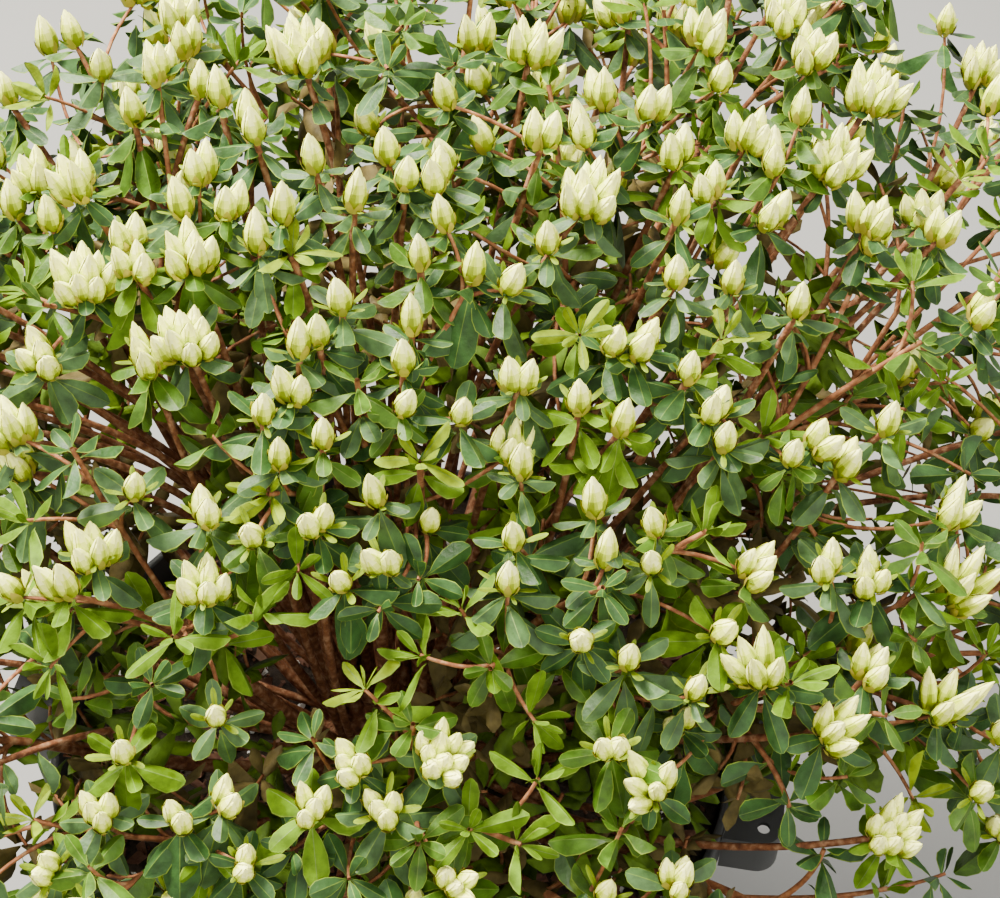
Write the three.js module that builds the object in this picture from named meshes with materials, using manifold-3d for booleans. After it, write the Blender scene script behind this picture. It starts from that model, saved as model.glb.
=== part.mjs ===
// A white-budded evergreen azalea standing in its black nursery pot. Millimetres, +Z up.
// The origin is the middle of the pot's flat underside. The near side of the view faces -Y.
import * as THREE from "three";
import { mergeVertices } from "three/addons/utils/BufferGeometryUtils.js";
import Module from "manifold-3d";

const wasm = await Module();
wasm.setup();

const degrees = (angle) => (angle * Math.PI) / 180;

// Pot
const POT_HEIGHT = 300;
const POT_FOOT_RADIUS = 142;
const POT_NECK_RADIUS = 180;
const RIM_RADIUS = 190;
const RIM_DEPTH = 30;
const POT_WALL = 3;
const POT_FLOOR = 4;
const FOOT_CHAMFER = 6;
const FLOOR_CHAMFER = 1;
const POT_FACETS = 32;
const GAP = 0.3;

// The two ears that the pot is lifted by: a flat top with a skirt round it, open below
const EAR_WIDTH = 84;
const EAR_REACH = 27;
const EAR_DEPTH = 29;
const EAR_CORNER = 12;
const EAR_CORNER_STEPS = 3;
const EAR_BACK_STEPS = 6;
const EAR_BACK_GAP = 0.5;
const EAR_HOLE_RADIUS = 3.4;
const EAR_HOLE_INSET = 10;
const EAR_HOLE_FACETS = 8;
const EAR_TURN = degrees(-10);

// Compost and the woody stool that the stems rise from
const COMPOST_TOP = 280;
const STOOL_RADIUS = 46;
const STOOL_HEIGHT = 30;
const STOOL_FACETS = 9;
const STOOL_STEPS = [
  [53, 0],
  [46, 0.35],
  [32, 0.8],
  [0, 1],
];
const STUB_REACH = 9;
const STUB_SUNK = 8;
const STUB_FLARE = 1.35;
const STUB_LIFT = 2;
const START_SHARE = 0.7;

// Crown outline: an ellipsoid that rises towards the back, with a dip in its front and a corner
// that swells out at the back right
const CROWN_MIDDLE = [18, 55, 400];
const CROWN_HALF = [362, 340, 245];
const CROWN_RISE = 0.24;
const FRONT_DIP = 0.4;
const CORNER_SWELL = 0.4;
const LOWEST_REACH_Z = 356;
const CLEARING = { from: [-42, 60, 280], to: [-16, -95, 520], radius: 46 };

// Stems
const STEM_COUNT = 25;
const LOWEST_STEM = -0.1;
const GOLDEN_ANGLE = Math.PI * (3 - Math.sqrt(5));
const FIRST_AZIMUTH = 4.4;
const STEM_SHARE = 0.6;
const STEM_BASE_RADIUS = 4.3;
const STEM_TIP_RADIUS = 2.3;
const STEM_SIDES = 5;
const STEM_STEPS = 5;
const STEM_SAG = 0.13;
const STEM_SWAY = 0.05;
const LEAST_SLOPE = 0.32;
const LOWEST_STEM_Z = 311;
const LOWEST_TIP_Z = 321;
const STEM_SEED = 4211;
const STEM_SEED_STEP = 97;
const NEARLY_UPRIGHT = 0.95;

// Foliage masses
const TWIGS_PER_MASS = 4;
const TWIG_RADIUS = 1.6;
const TWIG_TIP_RADIUS = 1.2;
const TWIG_STEPS = 2;
const TWIG_SIDES = 4;
const TWIG_SPREAD = 0.72;
const LEAST_SPREAD = 0.85;
const TWIG_JITTER = 0.3;
const TWIG_BEND = 10;
const TWIG_PROBES = 8;
const SPREAD_TRIES = [1, 0.7];
const MAIN_DEPTH = 0.95;
const LEAST_TWIG_DEPTH = 0.78;
const MOST_TWIG_DEPTH = 0.96;
const LEAST_SIZE = 0.9;
const MOST_SIZE = 1.1;
const MASS_STEM_STEPS = 4;
const FIRST_FORK = 0.08;
const LAST_FORK = 0.4;
const MAIN_BEND = 0.4;
const MASS_SEED = 90210;
const MASS_SEED_STEP = 131;
const SPACE_MARGIN = 0.6;
const LIMB_MARGIN = 1;
const POT_MARGIN = 4;

// Leaf whorls and buds
const LEAF_LENGTH = 54;
const LEAF_WIDTH = 23;
const LEAF_WIDEST = 0.56;
const LEAF_RIDGE = 0.45;
const LEAF_THICKNESS = 1.8;
const LEAF_ROOT_SHARE = 0.16;
const LEAF_DROOP = 0.16;
const LEAF_RISE = 0.1;
const LEAF_TRIES = [1, 0.75];
const BUD_LENGTH = 27;
const BUD_RADIUS = 8.5;
const BUD_UPTURN = 0.5;
const BUD_RINGS = [
  [0.2, 0.72],
  [0.58, 1],
  [1, 0],
];

const plain = (color, roughness) =>
  new THREE.MeshStandardMaterial({ color, roughness, metalness: 0 });
const finishes = {
  pot: plain(0x2b2d30, 0.5),
  compost: plain(0x2a211b, 0.95),
  bark: plain(0x6b3a24, 0.8),
  foliage: plain(0x5f8a4c, 0.6),
};

const vector = (values) => new THREE.Vector3(...values);
const CROWN_CENTRE = vector(CROWN_MIDDLE);
const FAN_CENTRE = new THREE.Vector3(0, 0, COMPOST_TOP + STOOL_HEIGHT * START_SHARE);

// A stream of numbers from 0 to 1 that is the same on every run.
function seeded(seed) {
  let state = seed >>> 0;
  const next = () => {
    state = (Math.imul(state, 1664525) + 1013904223) >>> 0;
    return state / 4294967296;
  };
  for (let i = 0; i < 4; i++) next();
  return next;
}

// A closed geometry as a solid that can be joined and cut.
function solidOf(geometry) {
  const bare = new THREE.BufferGeometry();
  bare.setAttribute("position", geometry.getAttribute("position").clone());
  if (geometry.index) bare.setIndex(geometry.index.clone());
  const merged = mergeVertices(bare, 1e-4);
  const corners = merged.index.array;
  const kept = [];
  for (let i = 0; i < corners.length; i += 3) {
    const [a, b, c] = corners.slice(i, i + 3);
    if (a !== b && b !== c && c !== a) kept.push(a, b, c);
  }
  return new wasm.Manifold(
    new wasm.Mesh({
      numProp: 3,
      vertProperties: new Float32Array(merged.attributes.position.array),
      triVerts: new Uint32Array(kept),
    }),
  );
}

// The largest body of a solid, which leaves out loose scraps and fills sealed hollows.
function mainBody(solid) {
  const bodies = solid.decompose();
  return bodies.reduce((best, body) => (body.volume() > best.volume() ? body : best));
}

function geometryOf(solid) {
  const mesh = solid.getMesh();
  const geometry = new THREE.BufferGeometry();
  geometry.setAttribute("position", new THREE.BufferAttribute(mesh.vertProperties, 3));
  geometry.setIndex(new THREE.BufferAttribute(mesh.triVerts, 1));
  geometry.computeVertexNormals();
  return geometry;
}

function named(name, geometry, material) {
  const mesh = new THREE.Mesh(geometry, material);
  mesh.name = name;
  return mesh;
}

// A solid of revolution about Z from a profile of [radius, height] pairs.
function turned(profile, facets) {
  const points = profile.map(([radius, height]) => new THREE.Vector2(radius, height));
  return new THREE.LatheGeometry(points, facets).rotateX(Math.PI / 2);
}

const wallRadiusAt = (z) =>
  POT_FOOT_RADIUS + ((POT_NECK_RADIUS - POT_FOOT_RADIUS) * z) / (POT_HEIGHT - RIM_DEPTH);

function potGeometry() {
  const neck = POT_HEIGHT - RIM_DEPTH;
  return turned(
    [
      [0, 0],
      [POT_FOOT_RADIUS - FOOT_CHAMFER, 0],
      [wallRadiusAt(FOOT_CHAMFER), FOOT_CHAMFER],
      [POT_NECK_RADIUS, neck],
      [RIM_RADIUS, neck + POT_WALL],
      [RIM_RADIUS, POT_HEIGHT],
      [RIM_RADIUS - POT_WALL, POT_HEIGHT],
      [RIM_RADIUS - POT_WALL, neck + 2 * POT_WALL],
      [POT_NECK_RADIUS - POT_WALL, neck + POT_WALL],
      [wallRadiusAt(FOOT_CHAMFER) - POT_WALL, FOOT_CHAMFER],
      [wallRadiusAt(FOOT_CHAMFER) - POT_WALL - FLOOR_CHAMFER, POT_FLOOR],
      [0, POT_FLOOR],
    ],
    POT_FACETS,
  );
}

function compostGeometry() {
  const neck = POT_HEIGHT - RIM_DEPTH;
  const inside = POT_WALL + GAP;
  return turned(
    [
      [0, POT_FLOOR + GAP],
      [wallRadiusAt(FOOT_CHAMFER) - inside - FLOOR_CHAMFER, POT_FLOOR + GAP],
      [wallRadiusAt(FOOT_CHAMFER) - inside, FOOT_CHAMFER + GAP],
      [POT_NECK_RADIUS - inside, neck + POT_WALL],
      [RIM_RADIUS - inside - FLOOR_CHAMFER, COMPOST_TOP],
      [0, COMPOST_TOP],
    ],
    POT_FACETS,
  );
}

// The outline of an ear from above, drawn in from its edge by the inset, its back along the rim.
function earOutline(inset) {
  const half = EAR_WIDTH / 2 - inset;
  const front = RIM_RADIUS + EAR_REACH - inset;
  const back = RIM_RADIUS + EAR_BACK_GAP;
  const corner = EAR_CORNER - inset;
  const outline = [];
  for (let i = 0; i <= EAR_CORNER_STEPS; i++) {
    const turn = (i / EAR_CORNER_STEPS) * (Math.PI / 2);
    const x = front - corner + corner * Math.sin(turn);
    const y = -half + corner - corner * Math.cos(turn);
    outline.push([x, y]);
  }
  const nearHalf = outline.slice().reverse().map(([x, y]) => [x, -y]);
  const sweep = Math.asin(half / back);
  const rear = [];
  for (let i = 0; i <= EAR_BACK_STEPS; i++) {
    const angle = sweep - (2 * sweep * i) / EAR_BACK_STEPS;
    rear.push([back * Math.cos(angle), back * Math.sin(angle)]);
  }
  return [...outline, ...nearHalf, ...rear].map(([x, y]) => new THREE.Vector2(x, y));
}

function earGeometry() {
  const block = (inset, depth, top) =>
    new THREE.ExtrudeGeometry(new THREE.Shape(earOutline(inset)), {
      depth,
      bevelEnabled: false,
    }).translate(0, 0, top - depth);
  const hollow = () => block(POT_WALL, EAR_DEPTH + POT_WALL, POT_HEIGHT - POT_WALL);
  const hole = new THREE.CylinderGeometry(
    EAR_HOLE_RADIUS,
    EAR_HOLE_RADIUS,
    4 * POT_WALL,
    EAR_HOLE_FACETS,
  )
    .rotateX(Math.PI / 2)
    .translate(RIM_RADIUS + EAR_REACH - EAR_HOLE_INSET, EAR_HOLE_INSET - EAR_WIDTH / 2, POT_HEIGHT);
  const solid = solidOf(block(0, EAR_DEPTH, POT_HEIGHT))
    .subtract(solidOf(hollow()))
    .subtract(solidOf(hollow().translate(-EAR_REACH / 2, 0, 0)))
    .subtract(solidOf(hole));
  return geometryOf(mainBody(solid));
}

// Crown outline

// Where a point lies in the crown, as a vector that has length 1 on the ellipsoid.
function crownShare(point) {
  const [halfX, halfY, halfZ] = CROWN_HALF;
  const x = point.x - CROWN_CENTRE.x;
  const y = point.y - CROWN_CENTRE.y;
  const z = point.z - CROWN_CENTRE.z - CROWN_RISE * y;
  return new THREE.Vector3(x / halfX, y / halfY, z / halfZ);
}

const frontDip = (share) => 1 - FRONT_DIP * Math.max(0, -share.y) * Math.max(0, share.z);

const cornerSwell = (share) => 1 + CORNER_SWELL * Math.max(0, share.x) * Math.max(0, share.y);

// How far the crown reaches along a direction from the middle that the stems fan out from.
function reachAlong(direction) {
  const start = crownShare(FAN_CENTRE);
  const step = crownShare(FAN_CENTRE.clone().add(direction)).sub(start);
  const a = step.dot(step);
  const b = start.dot(step);
  const c = start.dot(start) - 1;
  const far = (-b + Math.sqrt(b * b - a * c)) / a;
  const share = start.addScaledVector(step, far);
  return far * frontDip(share) * cornerSwell(share);
}

// The end of the reach along a direction, no lower than the lowest foliage.
function outlinePoint(direction) {
  const point = FAN_CENTRE.clone().addScaledVector(direction, reachAlong(direction));
  point.z = Math.max(point.z, LOWEST_REACH_Z);
  return point;
}

// Stems and the spaces of their foliage

// The way that each stem sets out, spread evenly by the golden angle.
function setOut(index) {
  const height = 1 - ((index + 0.5) / STEM_COUNT) * (1 - LOWEST_STEM);
  const azimuth = FIRST_AZIMUTH + index * GOLDEN_ANGLE;
  const level = Math.sqrt(1 - height * height);
  return new THREE.Vector3(level * Math.cos(azimuth), level * Math.sin(azimuth), height);
}

function planStem(index) {
  const out = setOut(index);
  const [halfX, halfY, halfZ] = CROWN_HALF;
  const aim = new THREE.Vector3(
    out.x * halfX,
    out.y * halfY,
    out.z * halfZ + CROWN_RISE * out.y * halfY,
  ).add(CROWN_CENTRE);
  aim.z = Math.max(aim.z, LOWEST_REACH_Z);
  const direction = aim.sub(FAN_CENTRE).normalize();
  const end = outlinePoint(direction);
  const tip = FAN_CENTRE.clone().lerp(end, STEM_SHARE);
  tip.z = Math.max(tip.z, LOWEST_TIP_Z);

  const level = Math.hypot(out.x, out.y);
  const slope = Math.max(out.z, LEAST_SLOPE);
  const lift = new THREE.Vector3(out.x, out.y, 0)
    .multiplyScalar(Math.sqrt(1 - slope * slope) / (level || 1))
    .setZ(slope);
  const foot = new THREE.Vector3(
    STOOL_RADIUS * lift.x,
    STOOL_RADIUS * lift.y,
    COMPOST_TOP + STOOL_HEIGHT * lift.z,
  ).addScaledVector(lift, STUB_REACH);

  const random = seeded(STEM_SEED + STEM_SEED_STEP * index);
  const span = tip.distanceTo(foot);
  const side = new THREE.Vector3(-out.y, out.x, 0);
  const bend = foot.clone().lerp(tip, 0.5);
  bend.z -= span * STEM_SAG * level;
  bend.addScaledVector(side, span * STEM_SWAY * (2 * random() - 1));
  bend.z = Math.max(bend.z, LOWEST_STEM_Z);
  return { index, direction, foot, bend, tip, lift };
}

const stems = Array.from({ length: STEM_COUNT }, (_, index) => planStem(index));

const stemCurve = (stem) => new THREE.QuadraticBezierCurve3(stem.foot, stem.bend, stem.tip);

const stemRadius = (share) => STEM_BASE_RADIUS + (STEM_TIP_RADIUS - STEM_BASE_RADIUS) * share;

// Two directions square to a first one and to each other.
function squareTo(direction) {
  const upright = Math.abs(direction.z) > NEARLY_UPRIGHT;
  const up = upright ? new THREE.Vector3(0, 1, 0) : new THREE.Vector3(0, 0, 1);
  const side = new THREE.Vector3().crossVectors(up, direction).normalize();
  return [side, new THREE.Vector3().crossVectors(direction, side)];
}

// At each of a row of points, its way onwards and two directions square to it, without twist.
function framesAlong(points, ways) {
  let side = squareTo(ways[0])[0];
  return points.map((point, i) => {
    side = side.clone().addScaledVector(ways[i], -side.dot(ways[i])).normalize();
    return { point, side, over: new THREE.Vector3().crossVectors(ways[i], side) };
  });
}

const tangentsOf = (line, steps) =>
  Array.from({ length: steps + 1 }, (_, i) => line.getTangent(i / steps));

const ringPoint = ({ point, side, over }, radius, angle) =>
  point
    .clone()
    .addScaledVector(side, radius * Math.cos(angle))
    .addScaledVector(over, radius * Math.sin(angle));

// A limb through frames with a radius at each, cut flat at both ends or drawn to a point.
function limbGeometry(frames, radii, sides) {
  const last = frames.length - 1;
  const pointed = radii[last] === 0;
  const corners = [];
  const rings = pointed ? last : last + 1;
  for (let i = 0; i < rings; i++) {
    for (let k = 0; k < sides; k++) {
      corners.push(ringPoint(frames[i], radii[i], (k / sides) * 2 * Math.PI));
    }
  }
  const faces = [];
  for (let i = 0; i < rings - 1; i++) {
    for (let k = 0; k < sides; k++) {
      const a = i * sides + k;
      const b = i * sides + ((k + 1) % sides);
      faces.push(a, b, b + sides, a, b + sides, a + sides);
    }
  }
  const end = (rings - 1) * sides;
  for (let k = 1; k < sides - 1; k++) {
    faces.push(0, k + 1, k);
    if (!pointed) faces.push(end, end + k, end + k + 1);
  }
  if (pointed) {
    corners.push(frames[last].point);
    const point = corners.length - 1;
    for (let k = 0; k < sides; k++) faces.push(end + k, end + ((k + 1) % sides), point);
  }
  const geometry = new THREE.BufferGeometry().setFromPoints(corners);
  geometry.setIndex(faces);
  return geometry;
}

// Radii that go evenly from one value to another.
const taper = (from, to, count) =>
  Array.from({ length: count }, (_, i) => from + ((to - from) * i) / (count - 1));

// The stool: a low woody dome on a flat cut, with a flared stub for each stem.
function stoolGeometry() {
  const base = COMPOST_TOP + GAP;
  const profile = STOOL_STEPS.map(([radius, share]) => [radius, base + STOOL_HEIGHT * share]);
  let solid = solidOf(turned([[0, base], ...profile], STOOL_FACETS));
  for (const stem of stems) {
    const way = stemCurve(stem).getTangent(0);
    const end = stem.foot.clone().addScaledVector(way, -GAP);
    const start = end.clone().addScaledVector(way, -STUB_REACH - STUB_SUNK);
    start.z = Math.max(start.z, base + STEM_BASE_RADIUS * STUB_FLARE + STUB_LIFT);
    const radii = [STEM_BASE_RADIUS * STUB_FLARE, STEM_BASE_RADIUS];
    const stub = limbGeometry(framesAlong([start, end], [way, way]), radii, STEM_SIDES);
    solid = solid.add(solidOf(stub));
  }
  return geometryOf(mainBody(solid));
}

// Foliage

// Whether a point lies in the space of a stem's foliage, clear of its neighbours' spaces.
function inOwnSpace(point, own) {
  const arm = point.clone().sub(FAN_CENTRE);
  return stems.every((other) => {
    if (other === own) return true;
    const across = own.direction.clone().sub(other.direction);
    return arm.dot(across) > SPACE_MARGIN * across.length();
  });
}

// Whether a point is clear of the pot, its ears and the compost.
function clearOfPot(point) {
  const outward = Math.hypot(point.x, point.y);
  return point.z > POT_HEIGHT + POT_MARGIN || outward > RIM_RADIUS + EAR_REACH + POT_MARGIN;
}

const stemLines = stems.map((stem) => stemCurve(stem).getPoints(STEM_STEPS * 2));

// The least distance from a point to the stems, less their radius there.
function gapToStems(point, own) {
  let least = Infinity;
  const nearest = new THREE.Vector3();
  const line = new THREE.Line3();
  stemLines.forEach((points, index) => {
    if (stems[index] === own) return;
    for (let i = 1; i < points.length; i++) {
      line.set(points[i - 1], points[i]);
      line.closestPointToPoint(point, true, nearest);
      const radius = stemRadius((i - 1) / (points.length - 1));
      least = Math.min(least, nearest.distanceTo(point) - radius);
    }
  });
  return least;
}

const clearingLine = new THREE.Line3(vector(CLEARING.from), vector(CLEARING.to));

function inClearing(point) {
  const nearest = clearingLine.closestPointToPoint(point, true, new THREE.Vector3());
  return nearest.distanceTo(point) < CLEARING.radius;
}

// Half the mean angle between a stem and its four nearest neighbours.
function spaceAngle(own) {
  const angles = stems
    .filter((other) => other !== own)
    .map((other) => own.direction.angleTo(other.direction))
    .sort((a, b) => a - b);
  const nearest = angles.slice(0, 4);
  return nearest.reduce((sum, angle) => sum + angle) / nearest.length / 2;
}

// The stem of a mass, which carries on from its limb to the top of its space.
function massStem(stem, random) {
  const set = stemCurve(stem).getTangent(1);
  const root = stem.tip.clone().addScaledVector(set, GAP);
  const tip = FAN_CENTRE.clone().lerp(outlinePoint(stem.direction), MAIN_DEPTH);
  const bend = root.clone().addScaledVector(set, MAIN_BEND * root.distanceTo(tip));
  const size = LEAST_SIZE + (MOST_SIZE - LEAST_SIZE) * random();
  return { line: new THREE.QuadraticBezierCurve3(root, bend, tip), size };
}

// The twigs round the stem of a mass, each a curve from the stem to the crown's outline. A twig
// that finds no room is drawn in towards the stem, and left out if that doesn't help.
function sideTwigs(stem, main, random) {
  const [side, over] = squareTo(stem.direction);
  const spread = Math.tan(spaceAngle(stem)) * TWIG_SPREAD;
  const turn = random() * 2 * Math.PI;
  const twigs = [];
  for (let k = 0; k < TWIGS_PER_MASS; k++) {
    const angle = turn + (k * 2 * Math.PI) / TWIGS_PER_MASS + TWIG_JITTER * (random() - 0.5);
    const width = spread * (LEAST_SPREAD + TWIG_JITTER * random());
    const depth = LEAST_TWIG_DEPTH + (MOST_TWIG_DEPTH - LEAST_TWIG_DEPTH) * random();
    const size = LEAST_SIZE + (MOST_SIZE - LEAST_SIZE) * random();
    const fork = FIRST_FORK + ((LAST_FORK - FIRST_FORK) * k) / (TWIGS_PER_MASS - 1);
    const start = main.line.getPoint(fork);
    const growTo = (share) => {
      const direction = stem.direction
        .clone()
        .addScaledVector(side, share * width * Math.cos(angle))
        .addScaledVector(over, share * width * Math.sin(angle))
        .normalize();
      const tip = FAN_CENTRE.clone().lerp(outlinePoint(direction), depth);
      const bend = start.clone().lerp(tip, 0.5);
      bend.addScaledVector(main.line.getTangent(fork), TWIG_BEND);
      const line = new THREE.QuadraticBezierCurve3(start, bend, tip);
      return twigWithBud({ line, size }, TWIG_RADIUS, TWIG_STEPS);
    };
    const twig = SPREAD_TRIES.map(growTo).find((grown) => twigHasRoom(grown, stem));
    if (twig) twigs.push(twig);
  }
  return twigs;
}

// Whether a twig and its bud lie in their mass's space, clear of the other stems.
function twigHasRoom({ line, tip, frames, radii }, stem) {
  const along = line.getPoints(TWIG_PROBES).slice(2);
  const round = frames.slice(-BUD_RINGS.length).flatMap((frame, i) => {
    const radius = radii[radii.length - BUD_RINGS.length + i];
    return Array.from({ length: TWIG_SIDES }, (_, k) =>
      ringPoint(frame, radius, (k / TWIG_SIDES) * 2 * Math.PI),
    );
  });
  return !inClearing(tip) && isClear([...along, ...round], stem);
}

// The corners of a leaf with a flat underside, whose ridged upper side droops towards its tip.
function leafCorners(root, along, face, size) {
  const across = new THREE.Vector3().crossVectors(face, along).normalize();
  const length = LEAF_LENGTH * size;
  const at = (share, offset, lift) =>
    root
      .clone()
      .addScaledVector(along, share * length)
      .addScaledVector(across, offset * size)
      .addScaledVector(face, lift - LEAF_DROOP * length * share * share);
  return {
    root,
    right: at(LEAF_WIDEST, -LEAF_WIDTH / 2, 0),
    tip: at(1, 0, 0),
    left: at(LEAF_WIDEST, LEAF_WIDTH / 2, 0),
    ridge: at(LEAF_RIDGE, 0, LEAF_THICKNESS),
  };
}

function leafGeometry({ root, right, tip, left, ridge }) {
  const geometry = new THREE.BufferGeometry().setFromPoints([root, right, tip, left, ridge]);
  geometry.setIndex([0, 1, 4, 1, 2, 4, 2, 3, 4, 3, 0, 4, 1, 0, 3, 1, 3, 2]);
  return geometry;
}

// Points along a leaf's middle and edges, close enough together that no stem passes between them.
function leafProbes({ root, right, tip, left, ridge }) {
  const steps = [0.25, 0.5, 0.75];
  const along = (a, b) => steps.map((share) => a.clone().lerp(b, share));
  return [
    ...[tip, left, right, ridge],
    ...along(root, ridge),
    ...along(ridge, tip),
    ...along(root, left),
    ...along(left, tip),
    ...along(root, right),
    ...along(right, tip),
  ];
}

const isClear = (points, own) =>
  points.every(
    (point) => inOwnSpace(point, own) && clearOfPot(point) && gapToStems(point, own) > LIMB_MARGIN,
  );

// A twig as frames and radii, from its start to the point of the bud on its tip.
function twigWithBud({ line, size }, radius, steps) {
  const points = line.getPoints(steps);
  const tip = points[steps];
  const axis = line.getTangent(1);
  axis.z += BUD_UPTURN;
  axis.normalize();
  const length = BUD_LENGTH * size;
  const bud = BUD_RINGS.map(([share]) => tip.clone().addScaledVector(axis, share * length));
  const ways = [...tangentsOf(line, steps), ...bud.map(() => axis)];
  const frames = framesAlong([...points, ...bud], ways);
  const radii = taper(radius, TWIG_TIP_RADIUS, steps + 1);
  radii.push(...BUD_RINGS.map(([, share]) => share * BUD_RADIUS * size));
  return { line, frames, radii, tip, axis, size, budFrame: frames[steps + 1] };
}

// The leaves that root in the bud at a twig's tip, each smaller where it lacks room for its full
// size, and left out where even the smallest would leave the mass's space or touch a stem.
function whorlSolids({ tip, axis, budFrame, size }, stem) {
  const root = tip.clone().addScaledVector(axis, LEAF_ROOT_SHARE * BUD_LENGTH * size);
  const fits = (corners) => isClear(leafProbes(corners), stem);
  const solids = [];
  for (let k = 0; k < TWIG_SIDES; k++) {
    const angle = ((k + 0.5) / TWIG_SIDES) * 2 * Math.PI;
    const outward = ringPoint(budFrame, 1, angle).sub(budFrame.point);
    const along = outward.clone().addScaledVector(axis, LEAF_RISE).normalize();
    const face = axis.clone().addScaledVector(outward, -LEAF_RISE).normalize();
    const grow = (share) => leafCorners(root, along, face, size * share);
    const leaf = LEAF_TRIES.map(grow).find(fits);
    if (leaf) solids.push(solidOf(leafGeometry(leaf)));
  }
  return solids;
}

// A mass of foliage: one stem with twigs round it, and a whorl of leaves under a bud on each tip.
function massSolid(stem) {
  const random = seeded(MASS_SEED + MASS_SEED_STEP * stem.index);
  const main = massStem(stem, random);
  const twigs = [
    twigWithBud(main, STEM_TIP_RADIUS, MASS_STEM_STEPS),
    ...sideTwigs(stem, main, random),
  ];
  const pieces = twigs.flatMap((twig) => [
    solidOf(limbGeometry(twig.frames, twig.radii, TWIG_SIDES)),
    ...whorlSolids(twig, stem),
  ]);
  return mainBody(pieces.reduce((joined, piece) => joined.add(piece)));
}

// Assembly
const shrub = new THREE.Group();
shrub.add(named("pot", potGeometry(), finishes.pot));
for (const [name, turn] of [["pot_ear_right", EAR_TURN], ["pot_ear_left", EAR_TURN + Math.PI]]) {
  const ear = named(name, earGeometry(), finishes.pot);
  ear.rotation.z = turn;
  shrub.add(ear);
}
shrub.add(named("compost", compostGeometry(), finishes.compost));
shrub.add(named("stool", stoolGeometry(), finishes.bark));
for (const stem of stems) {
  const number = String(stem.index + 1).padStart(2, "0");
  const line = stemCurve(stem);
  const frames = framesAlong(line.getPoints(STEM_STEPS), tangentsOf(line, STEM_STEPS));
  const radii = taper(STEM_BASE_RADIUS, STEM_TIP_RADIUS, STEM_STEPS + 1);
  const limb = limbGeometry(frames, radii, STEM_SIDES);
  shrub.add(named(`stem_${number}`, limb, finishes.bark));
  shrub.add(named(`foliage_${number}`, geometryOf(massSolid(stem)), finishes.foliage));
}

export default shrub;
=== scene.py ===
"""Looks of a potted evergreen azalea in white bud. Lengths are in millimetres until a mesh is made."""
import math

import bpy
import numpy as np
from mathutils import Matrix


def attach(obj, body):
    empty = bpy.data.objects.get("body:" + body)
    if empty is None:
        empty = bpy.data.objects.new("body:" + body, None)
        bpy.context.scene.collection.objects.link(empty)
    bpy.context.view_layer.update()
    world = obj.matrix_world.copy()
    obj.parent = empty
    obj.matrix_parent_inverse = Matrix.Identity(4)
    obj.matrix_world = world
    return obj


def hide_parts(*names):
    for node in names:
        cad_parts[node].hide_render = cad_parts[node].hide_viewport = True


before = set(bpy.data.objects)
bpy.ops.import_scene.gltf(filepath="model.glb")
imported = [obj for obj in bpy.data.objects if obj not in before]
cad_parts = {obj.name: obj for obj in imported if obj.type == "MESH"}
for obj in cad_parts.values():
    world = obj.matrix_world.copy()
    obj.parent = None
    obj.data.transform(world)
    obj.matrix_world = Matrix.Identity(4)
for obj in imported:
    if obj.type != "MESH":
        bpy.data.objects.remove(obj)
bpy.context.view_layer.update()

MM = 0.001
TURN = 2 * math.pi
GOLDEN_ANGLE = math.pi * (3 - math.sqrt(5))
UP = np.array([0.0, 0.0, 1.0])

# Camera, placed and tilted as in the photograph
CAMERA_PLACE = np.array([58.0, -569.0, 1158.0])
CAMERA_PITCH = math.radians(48)
CAMERA_AHEAD = np.array([0, math.cos(CAMERA_PITCH), -math.sin(CAMERA_PITCH)])
CAMERA_ABOVE = np.array([0, math.sin(CAMERA_PITCH), math.cos(CAMERA_PITCH)])
LENS = 65.9
SENSOR_WIDTH = 36
PICTURE_WIDTH = 1000
PICTURE_HEIGHT = 898
FOCAL = LENS / SENSOR_WIDTH * PICTURE_WIDTH

# Pot and compost, as in the frame
POT_HEIGHT = 300
POT_FOOT_RADIUS = 142
POT_NECK_RADIUS = 180
RIM_RADIUS = 190
RIM_DEPTH = 30
POT_WALL = 3
EAR_WIDTH = 84
EAR_REACH = 27
EAR_DEPTH = 29
EAR_CORNER = 12
EAR_HOLE_RADIUS = 3.4
EAR_HOLE_INSET = 10
EAR_TURN = math.radians(-10)
COMPOST_TOP = 280
STOOL_RADIUS = 46
STOOL_HEIGHT = 30
STUB_REACH = 9
START_SHARE = 0.7

# Crown, stems and twigs, by the same rule and seeds as the frame's solids
CROWN_CENTRE = np.array([18.0, 55.0, 400.0])
CROWN_HALF = np.array([362.0, 340.0, 245.0])
CROWN_RISE = 0.24
FRONT_DIP = 0.4
CORNER_SWELL = 0.4
LOWEST_REACH_Z = 356
CLEARING_FROM = np.array([-42.0, 60.0, 280.0])
CLEARING_TO = np.array([-16.0, -95.0, 520.0])
CLEARING_RADIUS = 46
STEM_COUNT = 25
LOWEST_STEM = -0.1
FIRST_AZIMUTH = 4.4
STEM_SHARE = 0.6
STEM_RADII = (4.3, 2.3)
STEM_PROBES = 10
STEM_SAG = 0.13
STEM_SWAY = 0.05
LEAST_SLOPE = 0.32
LOWEST_STEM_Z = 311
LOWEST_TIP_Z = 321
STEM_SEED = 4211
STEM_SEED_STEP = 97
TWIGS_PER_MASS = 4
TWIG_SPREAD = 0.72
LEAST_SPREAD = 0.85
TWIG_JITTER = 0.3
TWIG_BEND = 10
TWIG_PROBES = 8
SPREAD_TRIES = (1, 0.7)
MAIN_DEPTH = 0.95
MAIN_BEND = 0.4
TWIG_DEPTHS = (0.78, 0.96)
SIZES = (0.9, 1.1)
FORKS = (0.08, 0.4)
MASS_SEED = 90210
MASS_SEED_STEP = 131
SPACE_MARGIN = 0.6
LIMB_MARGIN = 1
POT_MARGIN = 4
GAP = 0.3
NEIGHBOURS = 4
STEEP = 0.95

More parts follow.
